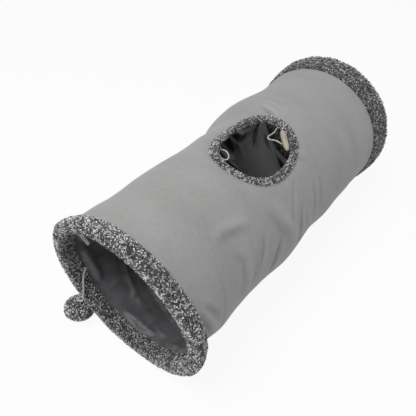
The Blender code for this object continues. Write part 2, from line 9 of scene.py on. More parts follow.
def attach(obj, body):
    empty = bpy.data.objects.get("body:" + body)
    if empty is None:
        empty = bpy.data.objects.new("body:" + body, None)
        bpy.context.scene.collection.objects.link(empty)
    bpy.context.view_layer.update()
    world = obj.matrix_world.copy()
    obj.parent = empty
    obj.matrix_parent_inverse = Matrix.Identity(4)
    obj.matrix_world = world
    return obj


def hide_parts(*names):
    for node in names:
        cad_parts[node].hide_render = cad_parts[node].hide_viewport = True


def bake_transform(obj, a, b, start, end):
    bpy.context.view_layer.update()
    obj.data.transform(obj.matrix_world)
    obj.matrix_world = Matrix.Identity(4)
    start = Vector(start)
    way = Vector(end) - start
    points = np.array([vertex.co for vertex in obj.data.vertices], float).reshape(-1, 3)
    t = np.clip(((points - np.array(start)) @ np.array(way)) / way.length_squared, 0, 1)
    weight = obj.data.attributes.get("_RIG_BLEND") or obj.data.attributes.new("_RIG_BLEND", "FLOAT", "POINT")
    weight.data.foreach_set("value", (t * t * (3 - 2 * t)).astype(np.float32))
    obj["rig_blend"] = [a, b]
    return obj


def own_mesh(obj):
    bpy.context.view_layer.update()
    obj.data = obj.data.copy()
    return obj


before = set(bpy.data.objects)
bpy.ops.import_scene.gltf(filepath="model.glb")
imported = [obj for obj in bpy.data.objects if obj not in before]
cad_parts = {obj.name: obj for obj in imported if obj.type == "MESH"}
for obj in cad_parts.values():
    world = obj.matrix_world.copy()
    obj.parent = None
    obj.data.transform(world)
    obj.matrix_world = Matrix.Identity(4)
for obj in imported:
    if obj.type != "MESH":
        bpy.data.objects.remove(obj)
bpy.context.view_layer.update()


# ---- Camera ------------------------------------------------------------------
# Stands at the near end, to one side and above, and looks down along the tunnel
# with a lens a little longer than normal.

VIEW_TURN = math.radians(39.13)
VIEW_DROP = math.radians(44.89)
camera_data = bpy.data.cameras.new("camera")
camera_data.sensor_width = 36
camera_data.lens = 39.107
camera = bpy.data.objects.new("camera", camera_data)
bpy.context.scene.collection.objects.link(camera)
ahead = math.cos(VIEW_DROP)
look = Vector((ahead * math.cos(VIEW_TURN), ahead * math.sin(VIEW_TURN), -math.sin(VIEW_DROP)))
right = Vector((math.sin(VIEW_TURN), -math.cos(VIEW_TURN), 0))
facing = Matrix((right, right.cross(look), -look)).transposed()
camera.matrix_world = Matrix.Translation((-0.2076, -0.3293, 0.6966)) @ facing.to_4x4()
bpy.context.scene.camera = camera


# ---- Cords -------------------------------------------------------------------
# Soft cotton cords, each of three strands laid round each other. A cream one holds the
# toggle at the far lip of the peephole, a cream loop is sewn in at the near lip, and a
# thicker beige one is sewn on the near cuff's inner edge and carries the ball over its nose.

CREAM_CORD_RADIUS = 0.0012
BEIGE_CORD_RADIUS = 0.0018
STRAND_SHARE = 0.464
STRAND_STEP = 0.0006
TURN_OF_LAY = 6.5  # in cord radii
TOGGLE_CORD_ROUTE = (
    (0.3505, -0.0209, 0.2543),
    (0.3496, -0.0204, 0.2518),
    (0.3445, -0.0188, 0.2499),
    (0.3370, -0.0175, 0.2496),
    (0.3312, -0.0192, 0.2494),
    (0.3302, -0.0240, 0.2490),
    (0.3331, -0.0290, 0.2486),
    (0.3347, -0.0350, 0.2483),
    (0.3332, -0.0420, 0.2489),
    (0.3302, -0.0470, 0.2510),
    (0.3288, -0.0490, 0.2540),
    (0.3285, -0.0498, 0.2566),
)
LOOP_ROUTE = (
    (0.2571, 0.0228, 0.2526),
    (0.2572, 0.0225, 0.2500),
    (0.2590, 0.0173, 0.2497),
    (0.2578, 0.0104, 0.2498),
    (0.2548, 0.0045, 0.2479),
    (0.2506, 0.0022, 0.2450),
    (0.2464, 0.0049, 0.2439),
    (0.2444, 0.0111, 0.2457),
    (0.2459, 0.0166, 0.2486),
    (0.2481, 0.0196, 0.2505),
    (0.2489, 0.0197, 0.2538),
)
TOGGLE_CORD_ROOT = ((0.3550, -0.0222, 0.2618), (0.3528, -0.0216, 0.2580))  # sewn inside the fleece
LOOP_ROOTS = ((0.2573, 0.0272, 0.2596), (0.2487, 0.0244, 0.2606))
BALL_CORD_ROOT = ((0.0188, 0.1190, 0.1003),)
BALL_CORD_ROUTE = (
    (0.0205, 0.1140, 0.1021),
    (0.0175, 0.1130, 0.1016),
    (0.0130, 0.1111, 0.0997),
    (0.0070, 0.1075, 0.0956),
    (0.0005, 0.1020, 0.0881),
    (-0.0050, 0.0978, 0.0785),
    (-0.0088, 0.0968, 0.0685),
    (-0.0104, 0.0990, 0.0595),
    (-0.0112, 0.1040, 0.0535),
    (-0.0118, 0.1098, 0.0500),
    (-0.0120, 0.1142, 0.0468),
    (-0.0120, 0.1160, 0.0430),
    (-0.0120, 0.1162, 0.0393),
)


def placed(name, data, finish=None):
    """A new piece with this mesh or curve."""
    piece = bpy.data.objects.new(name, data)
    bpy.context.scene.collection.objects.link(piece)
    if finish:
        data.materials.clear()
        data.materials.append(finish)
    if isinstance(data, bpy.types.Mesh):
        data.shade_smooth()
    return piece


def applied(piece):
    """The mesh of a piece with its curve and its modifiers applied."""
    bpy.context.view_layer.update()
    graph = bpy.context.evaluated_depsgraph_get()
    data = bpy.data.meshes.new_from_object(piece.evaluated_get(graph))
    bpy.data.objects.remove(piece)
    return data


def points_of(data):
    """The places of a mesh's vertices, as an array."""
    places = np.empty(len(data.vertices) * 3)
    data.vertices.foreach_get("co", places)
    return places.reshape(-1, 3)


def move_points(data, places):
    data.vertices.foreach_set("co", places.ravel())
    data.update()


def mesh_of(shape, name):
    """The mesh that a bmesh holds."""
    data = bpy.data.meshes.new(name)
    shape.to_mesh(data)
    shape.free()
    return data


def keep_value(data, name, values):
    """A number for each vertex, which the mesh's material reads."""
    kept = data.attributes.new(name, "FLOAT", "POINT").data
    kept.foreach_set("value", np.asarray(values, dtype=np.float32))


def smooth_route(route, count):
    """Even points on a smooth curve through the route's own points."""
    points = np.array(route)
    ends = np.vstack([2 * points[0] - points[1], points, 2 * points[-1] - points[-2]])
    t = (np.arange(24) / 24)[:, None]
    fine = [
        0.5 * (2 * b + (c - a) * t + (2 * a - 5 * b + 4 * c - d) * t**2 + (3 * b - a - 3 * c + d) * t**3)
        for a, b, c, d in zip(ends, ends[1:], ends[2:], ends[3:])
    ]
    fine = np.vstack([*fine, points[-1:]])
    travelled = np.append(0, np.cumsum(np.linalg.norm(np.diff(fine, axis=0), axis=1)))
    wanted = np.linspace(0, travelled[-1], count)
    return np.column_stack([np.interp(wanted, travelled, fine[:, axis]) for axis in range(3)])


def route_length(points):
    return float(np.linalg.norm(np.diff(points, axis=0), axis=1).sum())


def yarns(name, lines, radius, resolution, tip=1.0):
    """One mesh of round yarns along these lines, each thinned to this share at its tip."""
    curve = bpy.data.curves.new(name, "CURVE")
    curve.dimensions = "3D"
    curve.bevel_depth = radius
    curve.bevel_resolution = resolution
    curve.use_fill_caps = True
    for line in lines:
        spline = curve.splines.new("POLY")
        spline.points.add(len(line) - 1)
        spline.points.foreach_set("co", np.column_stack([line, np.ones(len(line))]).ravel())
        spline.points[-1].radius = tip
    return applied(placed(name, curve))


def merged(data, name, distance):
    """A copy of a mesh in which points this close are one."""
    shape = bmesh.new()
    shape.from_mesh(data)
    bmesh.ops.remove_doubles(shape, verts=shape.verts, dist=distance)
    return mesh_of(shape, name)


def laid_cord(name, route, radius, finish):
    """Three strands twisted round a route, as one mesh."""
    steps = int(route_length(smooth_route(route, 200)) / STRAND_STEP)
    line = smooth_route(route, steps)
    along = np.gradient(line, axis=0)
    along /= np.linalg.norm(along, axis=1, keepdims=True)
    side = np.empty_like(line)
    side[0] = np.cross(along[0], (0.3, 0.5, 0.8))
    side[0] /= np.linalg.norm(side[0])
    for step in range(1, steps):
        level = side[step - 1] - along[step] * (side[step - 1] @ along[step])
        side[step] = level / np.linalg.norm(level)
    other = np.cross(along, side)
    distance = np.linspace(0, route_length(line), steps)
    strands = []
    for strand in range(3):
        turn = (2 * math.pi * (strand / 3 + distance / (TURN_OF_LAY * radius)))[:, None]
        strands.append(line + (1 - STRAND_SHARE) * radius * (np.cos(turn) * side + np.sin(turn) * other))
    mesh = yarns(name, strands, STRAND_SHARE * radius, 1)
    rings = np.arange(len(mesh.vertices)) // (len(mesh.vertices) // (3 * steps))
    keep_value(mesh, "run", rings % steps * STRAND_STEP)
    keep_value(mesh, "strand", rings // steps)
    return placed(name, merged(mesh, name, 0.000001), finish)


def node(tree, kind, sockets=None, **settings):
    """A new node. Its sockets take a value, or a link from another node's output."""
    made = tree.nodes.new("ShaderNode" + kind)
    for setting, value in settings.items():
        setattr(made, setting, value)
    for socket, value in (sockets or {}).items():
        if isinstance(value, bpy.types.NodeSocket):
            tree.links.new(value, made.inputs[socket])
        else:
            made.inputs[socket].default_value = value
    return made


def ramp(tree, factor, *stops):
    """A colour ramp on a factor: stops are (place, colour)."""
    made = node(tree, "ValToRGB", {"Fac": factor})
    elements = made.color_ramp.elements
    while len(elements) < len(stops):
        elements.new(1)
    for element, (place, colour) in zip(elements, stops):
        element.position = place
        element.color = (*colour, 1)
    return made.outputs["Color"]


def grey(value):
    return (value, value, value)


def new_finish(name, roughness, **constants):
    """A material, its nodes and its shader. Constants sit on the shader's own sockets."""
    finish = bpy.data.materials.new(name)
    finish.use_nodes = True
    tree = finish.node_tree
    shader = tree.nodes["Principled BSDF"]
    shader.inputs["Roughness"].default_value = roughness
    for socket, value in constants.items():
        shader.inputs[socket.replace("_", " ")].default_value = value
    return finish, tree, shader


def colour_by(tree, shader, colour, *stops):
    """The base colour, from a colour or from a factor and the stops of its ramp."""
    tree.links.new(ramp(tree, colour, *stops) if stops else colour, shader.inputs["Base Color"])


def roughen_by(tree, shader, factor, *stops):
    tree.links.new(ramp(tree, factor, *stops), shader.inputs["Roughness"])


def raise_by(tree, shader, height, strength, distance):
    bump = node(tree, "Bump", {"Height": height, "Strength": strength, "Distance": distance})
    tree.links.new(bump.outputs["Normal"], shader.inputs["Normal"])


def math_node(tree, operation, first, second=0.0, third=0.5):
    return node(tree, "Math", {0: first, 1: second, 2: third}, operation=operation).outputs[0]


def scaled(tree, vector, scale):
    return node(tree, "VectorMath", {0: vector, "Scale": scale}, operation="SCALE").outputs[0]


def stretched(tree, vector, *scale):
    return node(tree, "Mapping", {"Vector": vector, "Scale": scale}).outputs["Vector"]


def mapped(tree, value, start, end, low=0.0, high=1.0):
    """A value's range laid onto another, and held within it."""
    sockets = {"Value": value, "From Min": start, "From Max": end, "To Min": low, "To Max": high}
    return node(tree, "MapRange", sockets).outputs[0]


def own_place(tree):
    return node(tree, "TexCoord").outputs["Object"]


def own_value(tree, name):
    return node(tree, "Attribute", attribute_name=name).outputs["Fac"]


def cloud_of(tree, vector, scale, detail, **more):
    """Noise on these coordinates, as a factor."""
    return node(tree, "TexNoise", {"Vector": vector, "Scale": scale, "Detail": detail, **more}).outputs["Fac"]


def new_group(name, inputs, outputs):
    """A shader node group with named inputs and outputs, and its two end nodes."""
    group = bpy.data.node_groups.new(name, "ShaderNodeTree")
    for socket, kind in inputs:
        group.interface.new_socket(name=socket, in_out="INPUT", socket_type="NodeSocket" + kind)
    for socket, kind in outputs:
        group.interface.new_socket(name=socket, in_out="OUTPUT", socket_type="NodeSocket" + kind)
    return group, group.nodes.new("NodeGroupInput"), group.nodes.new("NodeGroupOutput")


def group_node(tree, group, sockets):
    return node(tree, "Group", sockets, node_tree=group)


# Fine fibres that run along each strand.
cotton_fibre, ends_in, ends_out = new_group(
    "cotton fibre", [("Fine", "Float"), ("Grey", "Float")], [("Height", "Float"), ("Tone", "Float")]
)
spot = scaled(cotton_fibre, own_place(cotton_fibre), ends_in.outputs["Fine"])
fuzz = cloud_of(cotton_fibre, spot, 1.0, 3.0)
run = math_node(cotton_fibre, "ADD", own_value(cotton_fibre, "run"), own_value(cotton_fibre, "strand"))
on_strand = {"W": run, "Scale": 260.0}
patch = node(cotton_fibre, "TexNoise", on_strand, noise_dimensions="1D").outputs["Fac"]
tone = math_node(cotton_fibre, "ADD", fuzz, patch)
tone = math_node(cotton_fibre, "MULTIPLY", tone, ends_in.outputs["Grey"])
cotton_fibre.links.new(fuzz, ends_out.inputs["Height"])
cotton_fibre.links.new(tone, ends_out.inputs["Tone"])


def cord_finish(name, deep, pale):
    finish, tree, shader = new_finish(name, 0.9, Sheen_Weight=0.35, Sheen_Roughness=0.6)
    fibre = group_node(tree, cotton_fibre, {"Fine": 2600.0, "Grey": 0.5})
    colour_by(tree, shader, fibre.outputs["Tone"], (0.34, deep), (0.62, pale))
    raise_by(tree, shader, fibre.outputs["Height"], 0.5, 0.0003)
    return finish


cream = cord_finish("cream cotton", (0.36, 0.33, 0.27), (0.74, 0.70, 0.61))
beige = cord_finish("beige cotton", (0.24, 0.23, 0.20), (0.52, 0.50, 0.45))

toggle_route = TOGGLE_CORD_ROOT + TOGGLE_CORD_ROUTE
loop_route = (LOOP_ROOTS[0], *LOOP_ROUTE, LOOP_ROOTS[1])
ball_route = BALL_CORD_ROOT + BALL_CORD_ROUTE
toggle_cord = laid_cord("toggle_cord_laid", toggle_route, CREAM_CORD_RADIUS, cream)
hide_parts("toggle_cord")
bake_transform(toggle_cord, "hole_lip", "toggle", (0.3332, -0.0420, 0.2489), (0.3285, -0.0498, 0.2566))

loop = laid_cord("peephole_loop_laid", loop_route, CREAM_CORD_RADIUS, cream)
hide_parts("peephole_loop")
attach(loop, "loop")

ball_cord = laid_cord("ball_cord_laid", ball_route, BEIGE_CORD_RADIUS, beige)
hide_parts("ball_cord")
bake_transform(ball_cord, "near_end", "ball", (-0.0088, 0.0968, 0.0685), (-0.0118, 0.1098, 0.0500))


# ---- Suede shell -------------------------------------------------------------
# A tube of brushed polyester suede, sewn along its lowest line, with the peephole cut out
# of its top. The coiled spring pushes it out in soft ridges, and the cloth sinks between
# its turns, bulges beside the peephole and creases where it is sewn to the fleece.

TUNNEL_LENGTH = 0.596
RING_RADIUS = 0.1265
SHELL_OUTER = 0.1304
SHELL_THICKNESS = 0.001
AXIS_HEIGHT = 0.13947
HEM_SETBACK = 0.005
COIL_PITCH = TUNNEL_LENGTH / (1 - 0.08) * 36 / 100
COIL_MIDDLE_ANGLE = 625.0
NEAR_BAND_EDGE = 0.0215
FAR_BAND_EDGE = TUNNEL_LENGTH - 0.0445
HOLE_PLACE = 0.2842
HOLE_ANGLE = 102.2
HOLE_HALF_LENGTH = 0.0722
HOLE_HALF_WIDTH = 0.0600
HOLE_ROUNDNESS = 2.15
SHELL_GIRTH_STEPS = 232
TRIM_TAIL_PLACE = 0.0085  # where the fleece edge ends on the suede
WALL_PINCH = 0.0024  # at the peephole, where both cloths are sewn together
HOLE_HALVES = np.array((HOLE_HALF_LENGTH, HOLE_HALF_WIDTH))
RIDGE_HEIGHT = 0.0028
RIDGE_START, RIDGE_FADE = 0.0465, 0.045  # from either end
BULGE = (0.385, 48, 0.005, 0.05, 42)  # place, angle, height, reach along and reach round
NEAR_SPREAD = 0.05  # the near end is this much wider than it is high
SPREAD_START, SPREAD_END = 0.047, 0.115
COIL_HOLD = 0.007  # to either side of the wire, where the creases are half as deep
DEEPEST_SHADE, HIGHEST_SHADE = -1.5, 1.0
SAGS = (
    # the cloth sinks (or swells, below 0) round a place and angle: depth, reach along and reach round
    (0.314, 38, 0.0062, 0.021, 24),
    (0.210, 39, 0.0036, 0.100, 30),
    (0.040, 202, 0.0098, 0.036, 28),
    (0.250, 202, -0.0028, 0.040, 24),
    (0.385, 202, -0.0048, 0.036, 24),
    (0.490, 202, 0.0028, 0.030, 24),
)
CREASES = (
    # (place, angle) points along a crease, its depth, half its width, and how one-sided it is
    (((0.3745, 78), (0.3700, 84.5), (0.3675, 89), (0.3640, 93.5), (0.3580, 97.5)), 0.0042, 0.0030, 0.5),
    (((0.4000, 72), (0.4020, 83), (0.4020, 94)), 0.0014, 0.0045, 0.4),
    (((0.2001, 97), (0.1984, 104), (0.2009, 110)), 0.0016, 0.0032, 0.0),
    (((0.3180, 121.5), (0.3300, 128), (0.3460, 136.5)), 0.0014, 0.0045, 0.5),
    (((0.1720, 142), (0.1500, 137), (0.1290, 134), (0.1060, 134)), 0.0022, 0.0070, -0.9),
    (((0.2120, 139), (0.2200, 148), (0.2260, 157), (0.2370, 168), (0.2510, 182)), 0.0028, 0.0076, 0.9),
    (((0.2230, 163), (0.2110, 170), (0.1990, 180), (0.1890, 192)), 0.0030, 0.0055, 0.2),
    (((0.1880, 150), (0.1780, 160), (0.1660, 171), (0.1560, 184)), 0.0022, 0.0036, 0.5),
    (((0.1660, 160), (0.1560, 170), (0.1450, 181)), 0.0020, 0.0050, 0.2),
    (((0.1260, 147), (0.1350, 157), (0.1310, 168), (0.1180, 184)), 0.0022, 0.0055, 0.4),
    (((0.2980, 136), (0.2720, 147.5), (0.2560, 159.5), (0.2480, 168)), 0.0017, 0.0036, 0.2),
    (((0.2880, 157.5), (0.2800, 166.5), (0.2760, 178.5), (0.2730, 190)), 0.0026, 0.0034, 0.3),
    (((0.2960, 168), (0.2980, 174.5), (0.3030, 182)), 0.0020, 0.0036, 0.0),
    (((0.3369, 150), (0.3296, 168), (0.3250, 184)), 0.0020, 0.0046, 0.4),
    (((0.3560, 152), (0.3480, 166), (0.3440, 180)), 0.0014, 0.0044, 0.2),
    (((0.0870, 142), (0.0820, 158), (0.0700, 176), (0.0640, 188)), 0.0014, 0.0040, 0.2),
    (((0.0290, 153), (0.0330, 165), (0.0420, 180), (0.0480, 192)), 0.0036, 0.0042, 0.5),
    (((0.0370, 152), (0.0500, 162), (0.0640, 174)), 0.0026, 0.0042, 0.3),
    (((0.4802, 132), (0.4700, 148), (0.4617, 164)), 0.0009, 0.0070, 0.2),
    (((0.4400, 118), (0.4330, 140), (0.4280, 158)), 0.0006, 0.0080, 0.3),
    (((0.2300, 30), (0.2200, 8), (0.2160, -14)), 0.0014, 0.0060, 0.5),
    (((0.3300, 34), (0.3420, 12), (0.3440, -8)), 0.0012, 0.0055, -0.4),
    (((0.1300, 20), (0.1180, 2), (0.1160, -20)), 0.0010, 0.0060, 0.4),
    (((0.4500, 10), (0.4420, -8), (0.4460, -26)), 0.0011, 0.0060, 0.3),
    (((0.3050, -160), (0.2900, -142), (0.2940, -124)), 0.0012, 0.0055, 0.4),
    (((0.0900, -50), (0.1060, -36), (0.1100, -18)), 0.0009, 0.0055, 0.3),
    (((0.5300, 60), (0.5180, 72), (0.5120, 86)), 0.0006, 0.0060, 0.0),
)


def smooth_step(values):
    values = np.clip(values, 0, 1)
    return values * values * (3 - 2 * values)


def hump(offset, width):
    """1 at no offset, and nearly 0 from twice the width."""
    return np.exp(-((offset / width) ** 2))


def turned(angle, middle):
    """How far one angle is from another, from -180 to 180 degrees."""
    return (angle - middle + 180) % 360 - 180


def coil_offset(place, angle):
    """Distance along the tunnel from a point of the wall to the nearest turn of the coil."""
    turn_place = TUNNEL_LENGTH / 2 + COIL_PITCH * (angle - COIL_MIDDLE_ANGLE) / 360
    return (place - turn_place + COIL_PITCH / 2) % COIL_PITCH - COIL_PITCH / 2


def mound(place, angle, middle, turn, height, reach, span):
    """A rounded mound on the wall."""
    return height * np.exp(-(((place - middle) / reach) ** 2) - (turned(angle, turn) / span) ** 2)


def sunk(place, angle):
    """How far the cloths and the coil sink (or swell, below 0), clear of the near band."""
    depths = 0 * place
    for sag in SAGS:
        depths = depths + mound(place, angle, *sag)
    return depths * smooth_step((place - 0.0205) / 0.012)


def settled(place, angle, radius):
    """Points of the round tube in their real places: ridges over the wire, bulge, spread and height."""
    end_distance = np.minimum(place, TUNNEL_LENGTH - place)
    ridge = RIDGE_HEIGHT * np.cos(2 * math.pi * coil_offset(place, angle) / COIL_PITCH)
    ridge = ridge * smooth_step((end_distance - RIDGE_START) / RIDGE_FADE)
    grown = 1 + (ridge + mound(place, angle, *BULGE) - sunk(place, angle)) / SHELL_OUTER
    spread = 1 + NEAR_SPREAD * (1 - smooth_step((place - SPREAD_START) / (SPREAD_END - SPREAD_START)))
    turn = np.radians(angle)
    across = radius * np.cos(turn) * grown * spread
    return np.column_stack([place, across, radius * np.sin(turn) * grown + AXIS_HEIGHT])


def near_skew(across):
    """How far the near band sits along the tunnel from a square cut, at this distance across."""
    return 0.0010 - 0.0022 * across / 0.13


def hole_reach(place, angle):
    """Distance out from the peephole's edge, along the flattened wall. It is below 0 inside it."""
    flat = np.column_stack([place - HOLE_PLACE, np.radians(turned(angle, HOLE_ANGLE)) * SHELL_OUTER])
    size = (np.abs(flat / HOLE_HALVES) ** HOLE_ROUNDNESS).sum(axis=1) ** (1 / HOLE_ROUNDNESS)
    size = np.maximum(size, 0.001)
    return np.linalg.norm(flat, axis=1) * (1 - 1 / size), flat, size


def pinched(from_hole):
    """How far the two cloths are drawn together, by the distance from the peephole."""
    return WALL_PINCH * (1 - smooth_step((from_hole - 0.006) / 0.018))


def round_spots(place, angle, radius):
    """Points of a plain round tube."""
    turn = np.radians(angle)
    return np.column_stack([place, np.cos(turn) * radius, np.sin(turn) * radius])


def soft_noise(places, scale, seed):
    """Even rolling noise, from about -1 to 1."""
    return np.array([noise.noise(Vector(p)) for p in places * scale + seed * 7.31])


def crease_relief(place, angle):
    """How far each crease lowers the wall, and lifts it on its other side."""
    girth = np.radians(angle % 360) * SHELL_OUTER
    relief = np.zeros(len(place))
    for line, depth, width, one_sided in CREASES:
        spots = np.array([(x, math.radians(turn % 360) * SHELL_OUTER) for x, turn in line])
        if spots[:, 1].max() - spots[:, 1].min() > 0.4:
            spots[:, 1] = [math.radians(turn) * SHELL_OUTER for _, turn in line]
            girth_here = np.radians(turned(angle, 0)) * SHELL_OUTER
        else:
            girth_here = girth
        nearest = np.full(len(place), 1.0)
        offset = np.zeros(len(place))
        share = np.zeros(len(place))
        for index, (start, end) in enumerate(zip(spots, spots[1:])):
            step = end - start
            along = ((place - start[0]) * step[0] + (girth_here - start[1]) * step[1]) / (step @ step)
            along = np.clip(along, 0, 1)
            away = (place - start[0] - along * step[0], girth_here - start[1] - along * step[1])
            distance = np.hypot(*away)
            closer = distance < nearest
            nearest = np.where(closer, distance, nearest)
            signed = np.sign(away[0] * step[1] - away[1] * step[0]) * distance
            offset = np.where(closer, signed, offset)
            share = np.where(closer, (index + along) / (len(spots) - 1), share)
        fade = np.clip(np.sin(math.pi * share), 0, 1) ** 0.7
        reach = offset / width
        relief -= depth * fade * hump(reach, 1)
        relief += depth * fade * (0.35 * hump(np.abs(reach) - 2.1, 1))
        relief += depth * fade * one_sided * reach * hump(reach, 1.8)
    return relief * (1 - 0.5 * hump(coil_offset(place, angle), COIL_HOLD))


def round_tube(radius, rows, girth_steps):
    """A tube's mesh on its side, with rings at these places, and each vertex's place and angle."""
    shape = bmesh.new()
    bmesh.ops.create_cone(shape, segments=girth_steps, radius1=radius, radius2=radius, depth=2)
    upright = [edge for edge in shape.edges if edge.verts[0].co.z * edge.verts[1].co.z < 0]
    bmesh.ops.subdivide_edges(shape, edges=upright, cuts=len(rows) - 2, use_grid_fill=True)
    lie_down = Matrix.Rotation(math.pi / 2, 4, "Y")
    bmesh.ops.transform(shape, matrix=lie_down, verts=shape.verts)
    data = mesh_of(shape, "tube")
    spots = points_of(data)
    row = np.rint((spots[:, 0] + 1) / 2 * (len(rows) - 1)).astype(int)
    return data, np.asarray(rows)[row], np.degrees(np.arctan2(spots[:, 2], spots[:, 1]))


def lay_cloth(data, place, angle):
    """A UV map in metres: along the tunnel, and round it from its lowest line."""
    corners = np.empty(len(data.loops), dtype=int)
    data.loops.foreach_get("vertex_index", corners)
    turn = ((angle + 90) % 360 / 360)[corners].reshape(-1, 4)
    turn = np.where(turn.max(axis=1, keepdims=True) - turn > 0.5, turn + 1, turn)
    laid = np.column_stack([place[corners], turn.ravel() * 2 * math.pi * SHELL_OUTER])
    data.uv_layers.new(name="cloth").data.foreach_set("uv", laid.ravel())


def cut_peephole(data, place, angle):
    """The cloth without its peephole, and its edge drawn onto the outline."""
    reach = hole_reach(place, angle)[0]
    keep_value(data, "place", place)
    keep_value(data, "angle", angle)
    shape = bmesh.new()
    shape.from_mesh(data)
    inside = [face for face in shape.faces if all(reach[v.index] < 0.0005 for v in face.verts)]
    bmesh.ops.delete(shape, geom=inside, context="FACES")
    layers = shape.verts.layers.float["place"], shape.verts.layers.float["angle"]
    rim = [v for v in shape.verts if v.is_boundary and abs(v[layers[0]] - HOLE_PLACE) < 0.1]
    _, flat, size = hole_reach(*(np.array([v[layer] for v in rim]) for layer in layers))
    for vertex, spot, share in zip(rim, flat, size):
        wanted = spot / share * (1 + 0.0004 / HOLE_HALF_WIDTH)
        vertex[layers[0]] = HOLE_PLACE + wanted[0]
        vertex[layers[1]] = HOLE_ANGLE + math.degrees(wanted[1] / SHELL_OUTER)
    shape.to_mesh(data)
    shape.free()
    found = []
    for name in ("place", "angle"):
        values = np.empty(len(data.vertices), dtype=np.float32)
        data.attributes[name].data.foreach_get("value", values)
        data.attributes.remove(data.attributes[name])
        found.append(values.astype(float))
    return found


def thickened(name, data, thickness, offset=-1):
    """A cloth with its thickness, on the inner side where nothing else is said."""
    piece = placed(name, data)
    wall = piece.modifiers.new("thickness", "SOLIDIFY")
    wall.thickness = thickness
    wall.offset = offset
    return applied(piece)


def rows_between(spacing_of):
    """Places for rings from hem to hem, this far apart at each place."""
    rows = [HEM_SETBACK]
    while rows[-1] < TUNNEL_LENGTH - HEM_SETBACK - 0.0005:
        rows.append(rows[-1] + spacing_of(rows[-1]))
    rows = np.array(rows)
    return HEM_SETBACK + (rows - HEM_SETBACK) * (TUNNEL_LENGTH - 2 * HEM_SETBACK) / (rows[-1] - HEM_SETBACK)


def suede_spacing(place):
    """Close rings along both hems, and at the sharp crease beside the peephole."""
    if abs(place - NEAR_BAND_EDGE) < 0.007 or abs(place - FAR_BAND_EDGE) < 0.007:
        return 0.0014
    return 0.0023 if 0.355 < place < 0.385 else 0.0034


shell_data, place, angle = round_tube(SHELL_OUTER, rows_between(suede_spacing), SHELL_GIRTH_STEPS)
lay_cloth(shell_data, place, angle)
place, angle = cut_peephole(shell_data, place, angle)
spots = round_spots(place, angle, SHELL_OUTER)
from_hole = hole_reach(place, angle)[0]
clear = smooth_step((place - NEAR_BAND_EDGE + 0.001) / 0.006)
clear *= smooth_step((FAR_BAND_EDGE + 0.001 - place) / 0.006)
clear *= smooth_step((from_hole - 0.009) / 0.008)
creases = crease_relief(place, angle)
relief = creases + 0.0007 * soft_noise(spots * (1, 0.7, 0.7), 24, 1) + 0.00025 * soft_noise(spots, 75, 2)
# Small gathers run out of both band seams.
near_edge = NEAR_BAND_EDGE + near_skew(spots[:, 1])
near_seam = np.exp(-np.maximum(place - near_edge, 0) / 0.016)
far_seam = np.exp(-np.maximum(FAR_BAND_EDGE - place, 0) / 0.012)
round_only = round_spots(0 * place, angle, 1)
relief += 0.0011 * near_seam * soft_noise(round_only, 9, 3)
relief += 0.0007 * far_seam * soft_noise(round_only, 11, 4)
# The hem is turned under, in a narrow welt along each band.
for edge in (near_edge + 0.0022, FAR_BAND_EDGE - 0.0024):
    relief += 0.0013 * hump(place - edge, 0.0016)
from_shadow = place - (FAR_BAND_EDGE - 0.0002)
relief -= 0.0010 * hump(from_shadow, 0.0012)
move_points(shell_data, settled(place, angle, SHELL_OUTER + relief * clear - pinched(from_hole)))
# Painted shade in the creases, under both bands and beside the fleece edge of the peephole, and painted light
# on the crests beside the creases.
folds = creases * clear / 0.003
folds -= 1.3 * hump(from_shadow, 0.0013) + 0.8 * hump(place - near_edge, 0.0013)
folds -= 0.7 * hump(np.maximum(from_hole - TRIM_TAIL_PLACE, 0), 0.0022)
keep_value(shell_data, "fold", np.clip(folds, DEEPEST_SHADE, HIGHEST_SHADE))
shell_data = thickened("outer_shell_suede", shell_data, SHELL_THICKNESS)


def on_cloth(tree):
    """The cloth's own UV map, in metres."""
    return node(tree, "UVMap", uv_map="cloth").outputs["UV"]


suede, tree, shader = new_finish("brushed suede", 0.88, Sheen_Weight=0.30, Sheen_Roughness=0.55)
laid = on_cloth(tree)
brushed = stretched(tree, laid, 1.0, 0.35, 1.0)
broad = math_node(tree, "MULTIPLY", cloud_of(tree, brushed, 22.0, 3.0), 0.35)
mottle = cloud_of(tree, brushed, 240.0, 3.0, Roughness=0.6)
nap = cloud_of(tree, laid, 1500.0, 2.0)
tone = math_node(tree, "MULTIPLY_ADD", nap, 0.35, math_node(tree, "MULTIPLY_ADD", mottle, 0.3, broad))
pale, middle, deep = (0.329, 0.329, 0.323), (0.298, 0.299, 0.291), (0.264, 0.265, 0.258)
cloth_colour = ramp(tree, tone, (0.38, deep), (0.50, middle), (0.62, pale))
# Painted shade and painted light: the fold values darken the suede in creases and seams and lighten it on
# crests.
shade = mapped(tree, own_value(tree, "fold"), DEEPEST_SHADE, HIGHEST_SHADE, 0.62, 1.10)
colour_by(tree, shader, scaled(tree, cloth_colour, shade))
raise_by(tree, shader, tone, 0.35, 0.0010)
shell = placed("outer_shell_suede", shell_data, suede)
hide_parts("outer_shell")
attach(shell, "near_end")


# ---- Lining ------------------------------------------------------------------
# A second tube inside, of dark woven polyester with a satin face. It is caught only at the
# rings, along the wire's tape and round the peephole, and hangs slack between them.

LINING_OUTER = 0.1236
LINING_THICKNESS = 0.0006
LINING_GIRTH_STEPS = 200
LINING_CAUGHT = 0.0045  # to either side of the wire's tape
LINING_DEEPEST = 0.020
LINING_SEWN_NEAR = 0.024  # under the cuffs
LINING_SEWN_FAR = TUNNEL_LENGTH - 0.047
SLACK_FRAMES = 26

